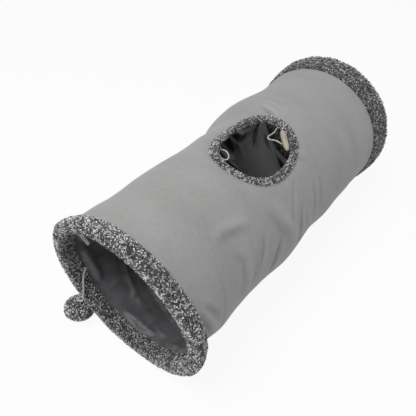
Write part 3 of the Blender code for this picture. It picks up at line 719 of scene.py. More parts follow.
lining_data, place, angle = round_tube(LINING_OUTER, rows_between(lambda place: 0.0036), LINING_GIRTH_STEPS)
lay_cloth(lining_data, place, angle)
place, angle = cut_peephole(lining_data, place, angle)
spots = round_spots(place, angle, LINING_OUTER)
from_hole = hole_reach(place, angle)[0]
from_coil = np.abs(coil_offset(place, angle))
held = (from_coil < LINING_CAUGHT) | (from_hole < 0.011)
held |= (place < LINING_SEWN_NEAR) | (place > LINING_SEWN_FAR)
slack = (1.0 - held) * smooth_step((from_hole - 0.010) / 0.012)
slack *= smooth_step((place - LINING_SEWN_NEAR) / 0.012) * smooth_step((LINING_SEWN_FAR - place) / 0.012)
slack *= smooth_step((from_coil - LINING_CAUGHT) / 0.014)
folds = 0.5 + 0.5 * soft_noise(spots * (1, 1.5, 1.5), 17, 5)
ridged = 1 - np.abs(soft_noise(spots * (0.6, 1.5, 1.5), 26, 9))
dent = slack * (0.0062 * folds + 0.0034 * ridged**3 + 0.0012 * (1 + soft_noise(spots, 60, 6)))
taut = LINING_OUTER + np.minimum(crease_relief(place, angle), 0)
move_points(lining_data, settled(place, angle, taut - dent + pinched(from_hole)))
# The slack falls into folds: the cloth is a little too large for the points that hold it.
lining = placed("lining_slack", lining_data)
caught = lining.vertex_groups.new(name="caught")
caught.add(np.nonzero(held)[0].tolist(), 1.0, "REPLACE")
cloth = lining.modifiers.new("slack", "CLOTH")
cloth.settings.quality = 6
cloth.settings.mass = 0.12
cloth.settings.tension_stiffness = 18
cloth.settings.compression_stiffness = 12
cloth.settings.shear_stiffness = 4
cloth.settings.bending_stiffness = 0.02
cloth.settings.shrink_min = cloth.settings.shrink_max = -0.06
cloth.settings.vertex_group_mass = "caught"
cloth.settings.effector_weights.gravity = 0.35
cloth.point_cache.frame_start = 1
cloth.point_cache.frame_end = SLACK_FRAMES
for step in range(1, SLACK_FRAMES + 1):
    bpy.context.scene.frame_set(step)
hung = applied(lining)
bpy.context.scene.frame_set(1)
fallen = points_of(hung)
bpy.data.meshes.remove(hung)
across, up = fallen[:, 1], fallen[:, 2] - AXIS_HEIGHT
widest = settled(place, angle, taut + pinched(from_hole))
limit = np.hypot(widest[:, 1], widest[:, 2] - AXIS_HEIGHT)
radius = np.hypot(across, up)
radius_kept = np.clip(radius, limit - LINING_DEEPEST, limit)
fallen[:, 1] *= radius_kept / radius
fallen[:, 2] = AXIS_HEIGHT + up * radius_kept / radius
move_points(lining_data, fallen)
lining_data = thickened("lining_satin", lining_data, LINING_THICKNESS)

# Threads over and under each other, at right angles.
plain_weave, ends_in, ends_out = new_group(
    "plain weave", [("Vector", "Vector"), ("Threads", "Float")], [("Height", "Float")]
)
counted = scaled(plain_weave, ends_in.outputs["Vector"], ends_in.outputs["Threads"])
parts = node(plain_weave, "SeparateXYZ", {"Vector": counted}).outputs
warp = math_node(plain_weave, "SINE", parts["X"])
weft = math_node(plain_weave, "SINE", parts["Y"])
crossing = math_node(plain_weave, "MULTIPLY_ADD", warp, weft, 0.5)
plain_weave.links.new(crossing, ends_out.inputs["Height"])

satin, tree, shader = new_finish(
    "dark satin lining", 0.38, Sheen_Weight=0.14, Sheen_Roughness=0.35, Specular_IOR_Level=0.48
)
laid = on_cloth(tree)
weave = group_node(tree, plain_weave, {"Vector": laid, "Threads": 9000.0})
slub = cloud_of(tree, stretched(tree, laid, 40.0, 700.0, 1.0), 1.0, 2.0)
tone = math_node(tree, "MULTIPLY_ADD", slub, 0.4, cloud_of(tree, laid, 30.0, 4.0))
cloth_tone = ramp(tree, tone, (0.48, (0.034, 0.034, 0.036)), (0.95, (0.068, 0.068, 0.071)))
# Painted light and sheen: paler towards the near end, where light comes in at the open mouth, and a little
# darker further in.
along = node(tree, "SeparateXYZ", {"Vector": own_place(tree)}).outputs["X"]
colour_by(tree, shader, scaled(tree, cloth_tone, mapped(tree, along, 0.05, 0.22, 2.2, 0.95)))
roughen_by(tree, shader, slub, (0.3, grey(0.30)), (0.7, grey(0.44)))
raise_by(tree, shader, weave.outputs["Height"], 0.25, 0.0002)
lining = placed("lining_satin", lining_data, satin)
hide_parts("lining")
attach(lining, "near_end")


# ---- Spring wire, tape sleeve and ferrules ------------------------------------
# One hard-drawn steel wire makes the end rings and the coil. It runs in a sleeve of dark
# woven tape between the two cloths, and a zinc-plated sleeve is crimped over each ring's join.


def soft_copy(cad_name, name, finish):
    """A closed copy of a CAD node's mesh, sunk with the cloth."""
    data = merged(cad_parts[cad_name].data, name, 0.00001)
    spots = points_of(data)
    across, up = spots[:, 1], spots[:, 2] - AXIS_HEIGHT
    kept = 1 - sunk(spots[:, 0], np.degrees(np.arctan2(up, across))) / SHELL_OUTER
    move_points(data, np.column_stack([spots[:, 0], across * kept, AXIS_HEIGHT + up * kept]))
    return placed(name, data, finish)


drawn_steel, tree, shader = new_finish("drawn spring steel", 0.32, Metallic=1.0)
dull = cloud_of(tree, own_place(tree), 350.0, 3.0)
colour_by(tree, shader, dull, (0.35, (0.30, 0.30, 0.31)), (0.7, (0.50, 0.50, 0.52)))
roughen_by(tree, shader, dull, (0.3, grey(0.26)), (0.7, grey(0.45)))
raise_by(tree, shader, dull, 0.1, 0.0001)

sleeve_tape, tree, shader = new_finish("woven sleeve tape", 0.9, Sheen_Weight=0.2)
spot = own_place(tree)
weave = group_node(tree, plain_weave, {"Vector": spot, "Threads": 8000.0})
colour_by(tree, shader, cloud_of(tree, spot, 500.0, 3.0), (0.3, grey(0.045)), (0.75, grey(0.085)))
raise_by(tree, shader, weave.outputs["Height"], 0.4, 0.0003)

plated_zinc, tree, shader = new_finish("plated zinc", 0.38, Metallic=1.0)
bloom = cloud_of(tree, own_place(tree), 420.0, 4.0)
colour_by(tree, shader, bloom, (0.35, (0.42, 0.43, 0.45)), (0.7, (0.62, 0.62, 0.63)))
raise_by(tree, shader, bloom, 0.15, 0.0002)

wire = soft_copy("spring_wire", "spring_wire_drawn", drawn_steel)
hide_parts("spring_wire")
sleeve = soft_copy("wire_casing", "wire_casing_tape", sleeve_tape)
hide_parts("wire_casing")
for piece in (wire, sleeve):
    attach(piece, "near_end")
for name in ("near_ferrule", "far_ferrule"):
    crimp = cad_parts[name]
    crimp.data.materials.clear()
    crimp.data.materials.append(plated_zinc)


# ---- Fleece cuffs --------------------------------------------------------------
# A strip of curly black and white fleece is folded over each end ring and sewn down inside
# and out, with the hems of both cloths between its edges. The near band is narrower.

CUFF_NOSE = 0.0064
CUFF_PILE = 0.005
SEAM_GAP = 0.0003
SLOT_HIGH = SHELL_OUTER + SEAM_GAP - RING_RADIUS
SLOT_LOW = LINING_OUTER - LINING_THICKNESS - SEAM_GAP - RING_RADIUS
SLOT_FRONT = 0.0034
CUFF_SLOT = (SLOT_FRONT, SLOT_LOW, SLOT_HIGH)
CUFF_STEPS = 260
CURL_ROOM = 0.0018
CURL_TIP = 0.7  # a curl's thickness at its end
FLOOR_CLEARANCE = 0.0002


def fold_side(tail, seat, crest, pile):
    """One leg of the fold, from its rounded sewn edge to its crest: (along, height) points."""
    curve = min(pile, 0.004) * 0.75
    points = [(tail, seat)]
    for step in range(5):
        turn = math.pi / 2 * step / 4
        points.append((tail - curve * (1 - math.cos(turn)), seat + pile - curve * (1 - math.sin(turn))))
    for share in (0.25, 0.5, 0.75):
        lift = (crest - seat - pile) * math.sin(math.pi / 2 * share)
        points.append(((tail - curve) * (1 - share), seat + pile + lift))
    return points


def fold_outline(nose, rolls, tails, pile, slot):
    """A folded strip of fleece, cut across, with room for its curls: rolls and tails are outer, inner."""
    front, low, high = slot
    nose, pile = nose - CURL_ROOM, pile - CURL_ROOM
    outer_roll, inner_roll = (roll - CURL_ROOM for roll in rolls)
    points = fold_side(tails[0] - CURL_ROOM / 2, high, outer_roll, min(pile, outer_roll - high))
    inner = fold_side(tails[1] - CURL_ROOM / 2, -low, inner_roll, min(pile, inner_roll + low))
    for step in range(17):
        turn = math.pi * step / 16
        roll = outer_roll if turn < math.pi / 2 else inner_roll
        points.append((-nose * math.sin(turn), roll * math.cos(turn)))
    points += [(along, -height) for along, height in reversed(inner)]
    return points + [(-front, low), (-front, high)]


def in_slot(along, height, slot):
    """Whether points of a fold lie in its slot, where they hold the cloths."""
    front, low, high = slot
    return (along > -front - 0.0001) & (height > low - 0.0001) & (height < high + 0.0001)


def sort_faces(shape):
    """Faces in the order of their corners: a spun form has them in another order each time."""
    shape.verts.index_update()
    ranked = sorted(shape.faces, key=lambda face: sorted(corner.index for corner in face.verts))
    for rank, face in enumerate(ranked):
        face.index = rank
    shape.faces.sort()


def spin_round(shape, axis, steps):
    """All that a shape holds, spun once round an axis."""
    turning = shape.verts[:] + shape.edges[:]
    once = {"cent": (0, 0, 0), "axis": axis, "angle": 2 * math.pi, "steps": steps, "use_merge": True}
    bmesh.ops.spin(shape, geom=turning, **once)
    bmesh.ops.remove_doubles(shape, verts=shape.verts, dist=0.00001)
    bmesh.ops.recalc_face_normals(shape, faces=shape.faces)
    sort_faces(shape)


def spun_fold(name, places, axis, steps):
    """A closed outline spun once round an axis."""
    shape = bmesh.new()
    corners = [shape.verts.new(place) for place in places]
    for pair in zip(corners, corners[1:] + corners[:1]):
        shape.edges.new(pair)
    spin_round(shape, axis, steps)
    return mesh_of(shape, name)


def face_facts(data):
    """Each face's middle, outward direction and area."""
    count = len(data.polygons)
    middles, normals, areas = np.empty(count * 3), np.empty(count * 3), np.empty(count)
    data.polygons.foreach_get("center", middles)
    data.polygons.foreach_get("normal", normals)
    data.polygons.foreach_get("area", areas)
    return middles.reshape(-1, 3), normals.reshape(-1, 3), areas


def curly_pile(name, data, growing, count, curl_radius, yarn_radius, finish, seed, points=6):
    """Small curls of yarn set all over the growing faces of a fleece, as one mesh."""
    chance = np.random.default_rng(seed)
    middles, normals, areas = face_facts(data)
    growing = np.nonzero(growing)[0]
    reach = np.cumsum(areas[growing])
    wanted = (np.arange(count) + chance.random(count)) / count * reach[-1]
    faces = growing[np.minimum(np.searchsorted(reach, wanted), len(growing) - 1)]
    up = normals[faces]
    ahead = chance.normal(size=(count, 3))
    ahead -= up * (ahead * up).sum(axis=1, keepdims=True)
    ahead /= np.linalg.norm(ahead, axis=1, keepdims=True)
    beside = np.cross(up, ahead)
    spread = np.sqrt(areas[faces])[:, None]
    roots = middles[faces] + (chance.random((count, 1)) - 0.5) * spread * ahead
    roots += (chance.random((count, 1)) - 0.5) * spread * beside
    lean = np.radians(chance.uniform(15, 80, count))[:, None]
    rise = up * np.sin(lean) + beside * np.cos(lean)
    radius = chance.uniform(*curl_radius, count)[:, None]
    across = np.cross(ahead, rise)
    start = np.radians(chance.uniform(-50, -10, count))
    sweep = np.radians(chance.uniform(190, 300, count))
    pitch = chance.uniform(-0.5, 0.5, count)[:, None] * radius
    places = np.empty((count, points, 3))
    for step in range(points):
        share = step / (points - 1)
        turn = (start + sweep * share)[:, None]
        bend = radius * (1 - 0.25 * share)  # tighter towards its end
        ring = bend * (np.cos(turn) * ahead + np.sin(turn) * rise)
        places[:, step] = roots + up * radius * 0.35 + ring + across * pitch * (share - 0.5)
    mesh = yarns(name, places, yarn_radius, 0, CURL_TIP)
    each = len(mesh.vertices) // count
    keep_value(mesh, "shade", np.repeat(chance.random(count), each))
    spots = points_of(mesh)
    spots[:, 2] = np.maximum(spots[:, 2], FLOOR_CLEARANCE)
    move_points(mesh, spots)
    return placed(name, mesh, finish)


# Black, grey and off-white wools in one yarn, with a little unevenness along each curl.
wool_tone, ends_in, ends_out = new_group(
    "wool tone",
    [("Shade", "Float"), ("Dark", "Color"), ("Middle", "Color"), ("Light", "Color")],
    [("Color", "Color"), ("Height", "Float")],
)
spot = own_place(wool_tone)
fuzz = cloud_of(wool_tone, spot, 1400.0, 2.0)
patchy = cloud_of(wool_tone, spot, 55.0, 2.0)
shifted = math_node(wool_tone, "MULTIPLY_ADD", patchy, 0.5, ends_in.outputs["Shade"])
shifted = math_node(wool_tone, "SUBTRACT", shifted, 0.25)
wool = ends_in.outputs["Dark"]
for start, end, colour in ((0.28, 0.42, "Middle"), (0.58, 0.74, "Light")):
    mixed = {0: mapped(wool_tone, shifted, start, end), 6: wool, 7: ends_in.outputs[colour]}
    wool = node(wool_tone, "Mix", mixed, data_type="RGBA").outputs[2]
lift = mapped(wool_tone, fuzz, 0.0, 1.0, 0.75, 1.25)
wool_tone.links.new(scaled(wool_tone, wool, lift), ends_out.inputs["Color"])
wool_tone.links.new(fuzz, ends_out.inputs["Height"])


def curl_finish(name, dark, middle, light):
    finish, tree, shader = new_finish(name, 0.85, Sheen_Weight=0.3, Sheen_Roughness=0.5)
    wools = {"Dark": (*dark, 1), "Middle": (*middle, 1), "Light": (*light, 1)}
    tone = group_node(tree, wool_tone, {"Shade": own_value(tree, "shade"), **wools})
    colour_by(tree, shader, tone.outputs["Color"])
    raise_by(tree, shader, tone.outputs["Height"], 0.3, 0.0003)
    return finish


near_curls = curl_finish("curly fleece pile", (0.020, 0.020, 0.022), (0.28, 0.28, 0.285), grey(0.80))
# The near band's inner curls: the same wool as its outer curls, darker as painted shade inside the tunnel's
# mouth.
near_inner_shaded_curls = curl_finish(
    "near inner fleece pile in painted shade", (0.015, 0.015, 0.017), (0.17, 0.17, 0.172), (0.62, 0.62, 0.61)
)
# The far band's curls: the same wool, darker than the near band's as painted shade at the far end.
far_shaded_curls = curl_finish("far fleece pile in painted shade", (0.018, 0.018, 0.020), (0.16, 0.16, 0.163), (0.52, 0.52, 0.525))
# The backing under the curls: a dark cloth, its darkness partly its own and partly painted shade in the gaps
# between the curls.
backing, tree, shader = new_finish("fleece backing", 0.95, Sheen_Weight=0.3)
tufts = node(tree, "TexVoronoi", {"Vector": own_place(tree), "Scale": 520.0}).outputs
black, dark, pale = (0.012, 0.012, 0.013), (0.05, 0.05, 0.052), (0.16, 0.16, 0.165)
colour_by(tree, shader, tufts["Color"], (0.30, black), (0.60, dark), (0.85, pale))
raise_by(tree, shader, tufts["Distance"], 0.8, 0.0012)


def fleece_cuff(
    name, body, cad_name, ring_place, inwards, rolls, tails, counts, curl_radius, yarn_radius, finishes, seed
):
    """One end's folded band and its curls, outside and inside."""
    outline = fold_outline(CUFF_NOSE, rolls, tails, CUFF_PILE, CUFF_SLOT)
    corners = [(along, RING_RADIUS + height, 0) for along, height in outline]
    data = spun_fold(name, corners, (1, 0, 0), CUFF_STEPS)
    middles, _, _ = face_facts(data)
    height = np.hypot(middles[:, 1], middles[:, 2]) - RING_RADIUS
    shown = ~in_slot(middles[:, 0], height, CUFF_SLOT)
    spots = points_of(data)
    angle = np.degrees(np.arctan2(spots[:, 2], spots[:, 1]))
    radius = np.hypot(spots[:, 1], spots[:, 2])
    high = radius - RING_RADIUS
    soft = 0.0011 * soft_noise(spots, 45, seed) + 0.0006 * soft_noise(spots, 130, seed + 1)
    soft = np.where(in_slot(spots[:, 0], high, CUFF_SLOT), 0, soft)
    along = spots[:, 0] - np.where(spots[:, 0] < 0, 0.7 * soft, 0)
    radius = radius + soft * np.clip(high / rolls[0], -1, 1)
    places = settled(ring_place + inwards * along, angle, radius)
    if inwards > 0:
        places[:, 0] += near_skew(places[:, 1])
    places[:, 2] = np.maximum(places[:, 2], 0)  # flattened where it lies on the floor
    move_points(data, places)
    if inwards < 0:
        data.flip_normals()
    skin = placed(name, data, backing)
    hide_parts(cad_name)
    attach(skin, body)
    for side, growing, count, finish, pile_seed in zip(
        ("outer", "inner"), (height > 0, height <= 0), counts, finishes, (seed + 116, seed + 110)
    ):
        pile_name = name + "_" + side + "_curls"
        growing = growing & shown
        pile = curly_pile(pile_name, data, growing, count, curl_radius, yarn_radius, finish, pile_seed, 5)
        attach(pile, body)


fleece_cuff(
    "near_cuff_fleece",
    "near_end",
    "near_cuff",
    ring_place=0,
    inwards=1,
    rolls=(0.0154, 0.0088),
    tails=(NEAR_BAND_EDGE, 0.0208),
    counts=(5200, 4300),
    curl_radius=(0.0009, 0.0015),
    yarn_radius=0.00050,
    finishes=(near_curls, near_inner_shaded_curls),
    seed=21,
)
fleece_cuff(
    "far_cuff_fleece",
    "far_end",
    "far_cuff",
    ring_place=TUNNEL_LENGTH,
    inwards=-1,
    rolls=(0.0130, 0.0104),
    tails=(TUNNEL_LENGTH - FAR_BAND_EDGE, 0.040),
    counts=(4700, 4300),
    curl_radius=(0.0012, 0.0018),
    yarn_radius=0.0006,
    finishes=(far_shaded_curls, far_shaded_curls),
    seed=41,
)


# ---- Fleece edge of the peephole -------------------------------------------------
# The same fleece in a narrower strip, folded over the cut edges of both cloths and sewn
# down all the way round the peephole.

TRIM_NOSE = 0.0050
TRIM_ROLL_OVER_WALL = 0.0040
TRIM_TAIL = 0.0090
TRIM_PILE = 0.0036
TRIM_GAP = 0.0006
TRIM_SLOT_FRONT = 0.0006
TRIM_SPIN_RADIUS = 0.06
TRIM_STEPS = 220
WALLS_MIDDLE = (SHELL_OUTER + LINING_OUTER - LINING_THICKNESS) / 2
WALLS_HALF = (SHELL_OUTER - LINING_OUTER + LINING_THICKNESS) / 2 - WALL_PINCH

trim_curls = curl_finish(
    "peephole fleece pile", (0.014, 0.014, 0.016), (0.16, 0.16, 0.163), (0.70, 0.70, 0.71)
)
trim_slot = (TRIM_SLOT_FRONT, -WALLS_HALF - TRIM_GAP, WALLS_HALF + TRIM_GAP)
trim_roll = WALLS_HALF + TRIM_ROLL_OVER_WALL
outline = fold_outline(TRIM_NOSE, (trim_roll, trim_roll), (TRIM_TAIL, TRIM_TAIL), TRIM_PILE, trim_slot)
corners = [(TRIM_SPIN_RADIUS + along, 0, height) for along, height in outline]
trim_data = spun_fold("peephole_fleece_band", corners, (0, 0, 1), TRIM_STEPS)
middles, _, _ = face_facts(trim_data)
outset = np.hypot(middles[:, 0], middles[:, 1]) - TRIM_SPIN_RADIUS
shown = ~in_slot(outset, middles[:, 2], trim_slot)
spots = points_of(trim_data)
turn = np.arctan2(spots[:, 1], spots[:, 0])
outset = np.hypot(spots[:, 0], spots[:, 1]) - TRIM_SPIN_RADIUS
height = spots[:, 2]
soft = 0.0009 * soft_noise(spots, 70, 61) + 0.0005 * soft_noise(spots, 170, 62)
soft = np.where(in_slot(outset, height, trim_slot), 0, soft)
height = height + soft * np.sign(height)
outset = outset + np.where(outset < 0, soft, 0)
# The round band is drawn onto the peephole's outline, and its width along the outline's normals.
round_edge = np.column_stack([np.cos(turn), np.sin(turn)])
edge = HOLE_HALVES * np.sign(round_edge) * np.abs(round_edge) ** (2 / HOLE_ROUNDNESS)
outwards = np.sign(edge) * np.abs(edge / HOLE_HALVES) ** (HOLE_ROUNDNESS - 1) / HOLE_HALVES
outwards /= np.linalg.norm(outwards, axis=1, keepdims=True)
flat = edge + outset[:, None] * outwards
angle = HOLE_ANGLE + np.degrees(flat[:, 1] / SHELL_OUTER)
move_points(trim_data, settled(HOLE_PLACE + flat[:, 0], angle, WALLS_MIDDLE + height))
trim_data.flip_normals()
trim = placed("peephole_fleece_band", trim_data, backing)
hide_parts("peephole_trim")
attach(trim, "near_end")
trim_pile = curly_pile(
    "peephole_fleece_curls", trim_data, shown, 3000, (0.0009, 0.0014), 0.00045, trim_curls, 63
)
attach(trim_pile, "near_end")


# ---- Fleece ball ------------------------------------------------------------------
# A ball of the same fleece, sewn round a wad of polyester fibre, with its cord coming out
# of the top. It lies on the floor beside the near cuff.

BALL_CENTRE = Vector((-0.0120, 0.1164, 0.0213))
BALL_HALVES = Vector((0.027, 0.024, 0.021))
BALL_TURN = math.radians(-50.9)
BALL_CORD_ROOM = 0.0022  # without curls, round the cord
BALL_SKIN_DEPTH = 0.0014  # the backing of the curls, inside the ball's outline
BALL_WAD_DEPTH = 0.0036


def ball_form(name, depth, segments, unevenness, seed):
    """The ball's rounded form, this far inside its outline, with soft lumps."""
    shape = bmesh.new()
    bmesh.ops.create_uvsphere(shape, u_segments=segments, v_segments=segments * 5 // 8, radius=1)
    sort_faces(shape)
    halves = BALL_HALVES - Vector((depth, depth, depth))
    bmesh.ops.scale(shape, vec=halves, verts=shape.verts)
    seat = Matrix.Translation(BALL_CENTRE) @ Matrix.Rotation(BALL_TURN, 4, "Z")
    bmesh.ops.transform(shape, matrix=seat, verts=shape.verts)
    data = mesh_of(shape, name)
    spots = points_of(data)
    out = spots - np.array(BALL_CENTRE)
    out /= np.linalg.norm(out, axis=1, keepdims=True)
    lumps = unevenness * soft_noise(spots, 60, seed) + unevenness / 2 * soft_noise(spots, 160, seed + 1)
    spots += out * lumps[:, None]
    spots[:, 2] = np.maximum(spots[:, 2], 0.0003)
    move_points(data, spots)
    return data


ball_curls = curl_finish("ball fleece pile", (0.020, 0.020, 0.022), (0.28, 0.28, 0.285), grey(0.80))
wadding, tree, shader = new_finish("polyester wadding", 0.95, Sheen_Weight=0.5)
strands = cloud_of(tree, own_place(tree), 700.0, 5.0, Distortion=1.5)
colour_by(tree, shader, strands, (0.3, grey(0.55)), (0.7, grey(0.80)))
raise_by(tree, shader, strands, 0.6, 0.0008)

ball_data = ball_form("ball_cover_fleece", BALL_SKIN_DEPTH, 56, 0.0006, 71)
ball = placed("ball_cover_fleece", ball_data, backing)
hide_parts("ball_cover")
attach(ball, "ball")
middles, _, _ = face_facts(ball_data)
from_cord = np.hypot(middles[:, 0] - BALL_CENTRE.x, middles[:, 1] - BALL_CENTRE.y)
shown = (from_cord >= BALL_CORD_ROOM) | (middles[:, 2] <= BALL_CENTRE.z)
ball_pile = curly_pile(
    "ball_fleece_curls", ball_data, shown, 900, (0.0011, 0.0017), 0.00055, ball_curls, 73
)
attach(ball_pile, "ball")
filling_data = ball_form("ball_wadding", BALL_WAD_DEPTH, 32, 0.0004, 75)
filling = placed("ball_wadding", filling_data, wadding)
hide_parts("ball_filling")
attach(filling, "ball")


# ---- Toggle -------------------------------------------------------------------------
# A peg turned from pale close-grained wood, tapered at both ends, with its edges eased and
# a bore across its middle for the cream cord.

TOGGLE_MIDDLE = Vector((0.32851, -0.05182, 0.26141))
TOGGLE_OUT = Vector((0, -0.3907, 0.9205))
TOGGLE_GIRTH = Vector((0, -0.9205, -0.3907))
TOGGLE_SLOPE = math.radians(50.5)
TOGGLE_LENGTH = 0.040
TOGGLE_RADIUS = 0.0048
TOGGLE_TIP_RADIUS = 0.002
TOGGLE_TAPER = 0.0075
TOGGLE_EASE = 0.0007
TOGGLE_BORE_RADIUS = 0.0014
TOGGLE_STEPS = 40

# The peg's own directions: outwards from the wall, along the peg and to its side.
long = (-math.cos(TOGGLE_SLOPE) * Vector((1, 0, 0)) + math.sin(TOGGLE_SLOPE) * TOGGLE_GIRTH).normalized()
side = TOGGLE_OUT.cross(long).normalized()
half = TOGGLE_LENGTH / 2
shape = bmesh.new()
profile = (
    (0, half),
    (TOGGLE_TIP_RADIUS, half),
    (TOGGLE_RADIUS, half - TOGGLE_TAPER),
    (TOGGLE_RADIUS, TOGGLE_TAPER - half),
    (TOGGLE_TIP_RADIUS, -half),
    (0, -half),
)
corners = [shape.verts.new((radius, 0, height)) for radius, height in profile]
for pair in zip(corners, corners[1:]):
    shape.edges.new(pair)
bmesh.ops.bevel(
    shape, geom=corners[1:5], offset=TOGGLE_EASE, segments=4, profile=0.5, affect="VERTICES", material=-1
)
spin_round(shape, (0, 0, 1), TOGGLE_STEPS)
upright = Matrix.Translation(TOGGLE_MIDDLE) @ Matrix((side, TOGGLE_OUT, long)).transposed().to_4x4()
bmesh.ops.transform(shape, matrix=upright, verts=shape.verts)
peg = placed("toggle_turned", mesh_of(shape, "toggle_turned"))
shape = bmesh.new()
drilled = {"radius1": TOGGLE_BORE_RADIUS, "radius2": TOGGLE_BORE_RADIUS, "depth": 4 * TOGGLE_RADIUS}
bmesh.ops.create_cone(shape, cap_ends=True, segments=20, **drilled)
across = Matrix.Translation(TOGGLE_MIDDLE) @ Matrix((long, side, TOGGLE_OUT)).transposed().to_4x4()
bmesh.ops.transform(shape, matrix=across, verts=shape.verts)
drill = placed("toggle_drill", mesh_of(shape, "toggle_drill"))
bore = peg.modifiers.new("bore", "BOOLEAN")
bore.object = drill
bore.operation = "DIFFERENCE"
bore.solver = "EXACT"
data = applied(peg)
bpy.data.objects.remove(drill)
turned_wood, tree, shader = new_finish("pale turned wood", 0.5, Coat_Weight=0.12, Coat_Roughness=0.35)
lined_up = node(
    tree,
    "Mapping",
    {
        "Vector": own_place(tree),
        "Location": TOGGLE_MIDDLE,
        "Rotation": Matrix((side, TOGGLE_OUT, long)).transposed().to_euler(),
    },
    vector_type="TEXTURE",
).outputs["Vector"]
grain = cloud_of(tree, stretched(tree, lined_up, 900.0, 900.0, 60.0), 1.0, 4.0, Roughness=0.65)
ring_marks = {"Vector": lined_up, "Scale": 170.0, "Distortion": 3.0, "Detail": 2.0}
rings = node(tree, "TexWave", ring_marks, wave_type="RINGS").outputs["Fac"]
tone = math_node(tree, "MULTIPLY_ADD", rings, 0.3, grain)
brown, tan, pale = (0.22, 0.18, 0.13), (0.35, 0.30, 0.235), (0.44, 0.39, 0.32)
colour_by(tree, shader, tone, (0.35, brown), (0.62, tan), (0.90, pale))
raise_by(tree, shader, grain, 0.2, 0.0002)
peg = placed("toggle_turned", data, turned_wood)
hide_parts("toggle")
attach(peg, "toggle")


# ---- Tie tape -------------------------------------------------------------------------
# A short strip of grey cotton tape folded double and caught in the inner seam of the near
# cuff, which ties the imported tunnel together.

TIE_TOP = Vector((0.0243, 0.11418, 0.18902))
TIE_HANG = Vector((0.0099, -0.0042, -0.0360))
TIE_WIDTH = 0.005
TIE_THICKNESS = 0.0007
TIE_FOLD_RADIUS = 0.001
TIE_FOLD_SHARE = 0.4

down = TIE_HANG.normalized()
width = down.cross(Vector((0, 1, 0))).normalized()
apart = width.cross(down)
straight = TIE_HANG.length - TIE_FOLD_RADIUS
shape = bmesh.new()
bmesh.ops.create_grid(shape, x_segments=44, y_segments=6, size=1)
for vertex in shape.verts:
    share, edge = vertex.co.x, vertex.co.y
    if abs(share) < TIE_FOLD_SHARE:
        bend = math.pi / 2 * share / TIE_FOLD_SHARE
        reach, offset = straight + TIE_FOLD_RADIUS * math.cos(bend), TIE_FOLD_RADIUS * math.sin(bend)
    else:
        reach = straight * (1 - abs(share)) / (1 - TIE_FOLD_SHARE)
        offset = math.copysign(TIE_FOLD_RADIUS, share)
    wave = 0.0003 * math.sin(reach * 260) * math.sin(math.pi * reach / straight)
    vertex.co = TIE_TOP + down * reach + apart * (offset + wave) + width * TIE_WIDTH / 2 * edge
data = mesh_of(shape, "near_tie_tape")
uv = data.uv_layers.new(name="cloth")
for corner, loop_data in zip(data.loops, uv.data):
    away = data.vertices[corner.vertex_index].co - TIE_TOP
    loop_data.uv = (away.dot(down), away.dot(width))
data = thickened("near_tie_tape", data, TIE_THICKNESS, 0)
cotton_tape, tree, shader = new_finish("grey cotton tape", 0.85, Sheen_Weight=0.3)
laid = on_cloth(tree)
weave = group_node(tree, plain_weave, {"Vector": laid, "Threads": 9500.0})
ribs = cloud_of(tree, stretched(tree, laid, 2600.0, 60.0, 1.0), 1.0, 1.0)
# Pale: the tape's own light grey, made paler still as painted light, for it hangs in the shade inside the
# cuff.
colour_by(tree, shader, ribs, (0.3, (0.70, 0.70, 0.69)), (0.7, (0.88, 0.88, 0.86)))
raise_by(tree, shader, weave.outputs["Height"], 0.5, 0.0003)
tie = placed("near_tie_tape", data, cotton_tape)
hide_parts("near_tie")
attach(tie, "tie")


# ---- Own meshes -------------------------------------------------------------------------
# On the real tunnel both cloths, the wire with its sleeve and the peephole's fleece fold up flat
# between the two cuffs when the far end is pushed in. Here each of these pieces gets a mesh of its own.

for piece in (shell, lining, wire, sleeve, trim, trim_pile):
    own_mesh(piece)


# ---- Floor and light ----------------------------------------------------------------------
# A pale sweep of card under soft, even studio lamps, seen as white by the camera.


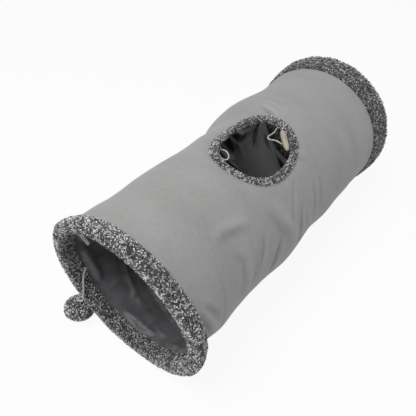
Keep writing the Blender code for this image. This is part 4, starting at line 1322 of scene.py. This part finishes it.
def seen_directly(tree):
    """1 where the camera sees a thing itself, or sees it in a gloss or through something."""
    rays = node(tree, "LightPath").outputs
    seen = math_node(tree, "MAXIMUM", rays["Is Camera Ray"], rays["Is Glossy Ray"])
    return math_node(tree, "MAXIMUM", seen, rays["Is Transmission Ray"])


floor_card, tree, shader = new_finish("floor card", 0.9)
paper = cloud_of(tree, own_place(tree), 60.0, 3.0)
colour_by(tree, shader, paper, (0.3, grey(0.72)), (0.7, grey(0.75)))
glow = node(tree, "Emission", {"Color": (1, 1, 1, 1), "Strength": 1.0})
share = math_node(tree, "MULTIPLY", seen_directly(tree), 0.92)
card = node(tree, "MixShader", {0: share, 1: shader.outputs[0], 2: glow.outputs[0]})
tree.links.new(card.outputs[0], tree.nodes["Material Output"].inputs["Surface"])
shape = bmesh.new()
bmesh.ops.create_grid(shape, x_segments=1, y_segments=1, size=6)
bmesh.ops.translate(shape, vec=(0.3, 0, -0.0006), verts=shape.verts)
floor = placed("floor", mesh_of(shape, "floor"), floor_card)

world = bpy.data.worlds.new("studio")
world.use_nodes = True
bpy.context.scene.world = world
tree = world.node_tree
soft_light = tree.nodes["Background"]
soft_light.inputs["Color"].default_value = (0.97, 0.98, 1.0, 1)
soft_light.inputs["Strength"].default_value = 0.41
white = node(tree, "Background", {"Color": (1, 1, 1, 1), "Strength": 1.0})
backdrop = node(tree, "MixShader", {0: seen_directly(tree), 1: soft_light.outputs[0], 2: white.outputs[0]})
tree.links.new(backdrop.outputs[0], tree.nodes["World Output"].inputs["Surface"])


def soft_lamp(name, place, aim, size, power):
    lamp_data = bpy.data.lights.new(name, "AREA")
    lamp_data.shape = "DISK"
    lamp_data.size = size
    lamp_data.energy = power
    lamp = bpy.data.objects.new(name, lamp_data)
    bpy.context.scene.collection.objects.link(lamp)
    direction = (Vector(aim) - Vector(place)).to_track_quat("-Z", "Y")
    lamp.matrix_world = Matrix.Translation(place) @ direction.to_matrix().to_4x4()


soft_lamp("key_lamp", (-0.5, 0.2, 2.0), (0.3, 0, 0.1), 1.2, 31)
soft_lamp("side_lamp", (0.9, -1.6, 1.2), (0.3, 0, 0.1), 1.2, 2)

bpy.context.scene.view_settings.view_transform = "Standard"
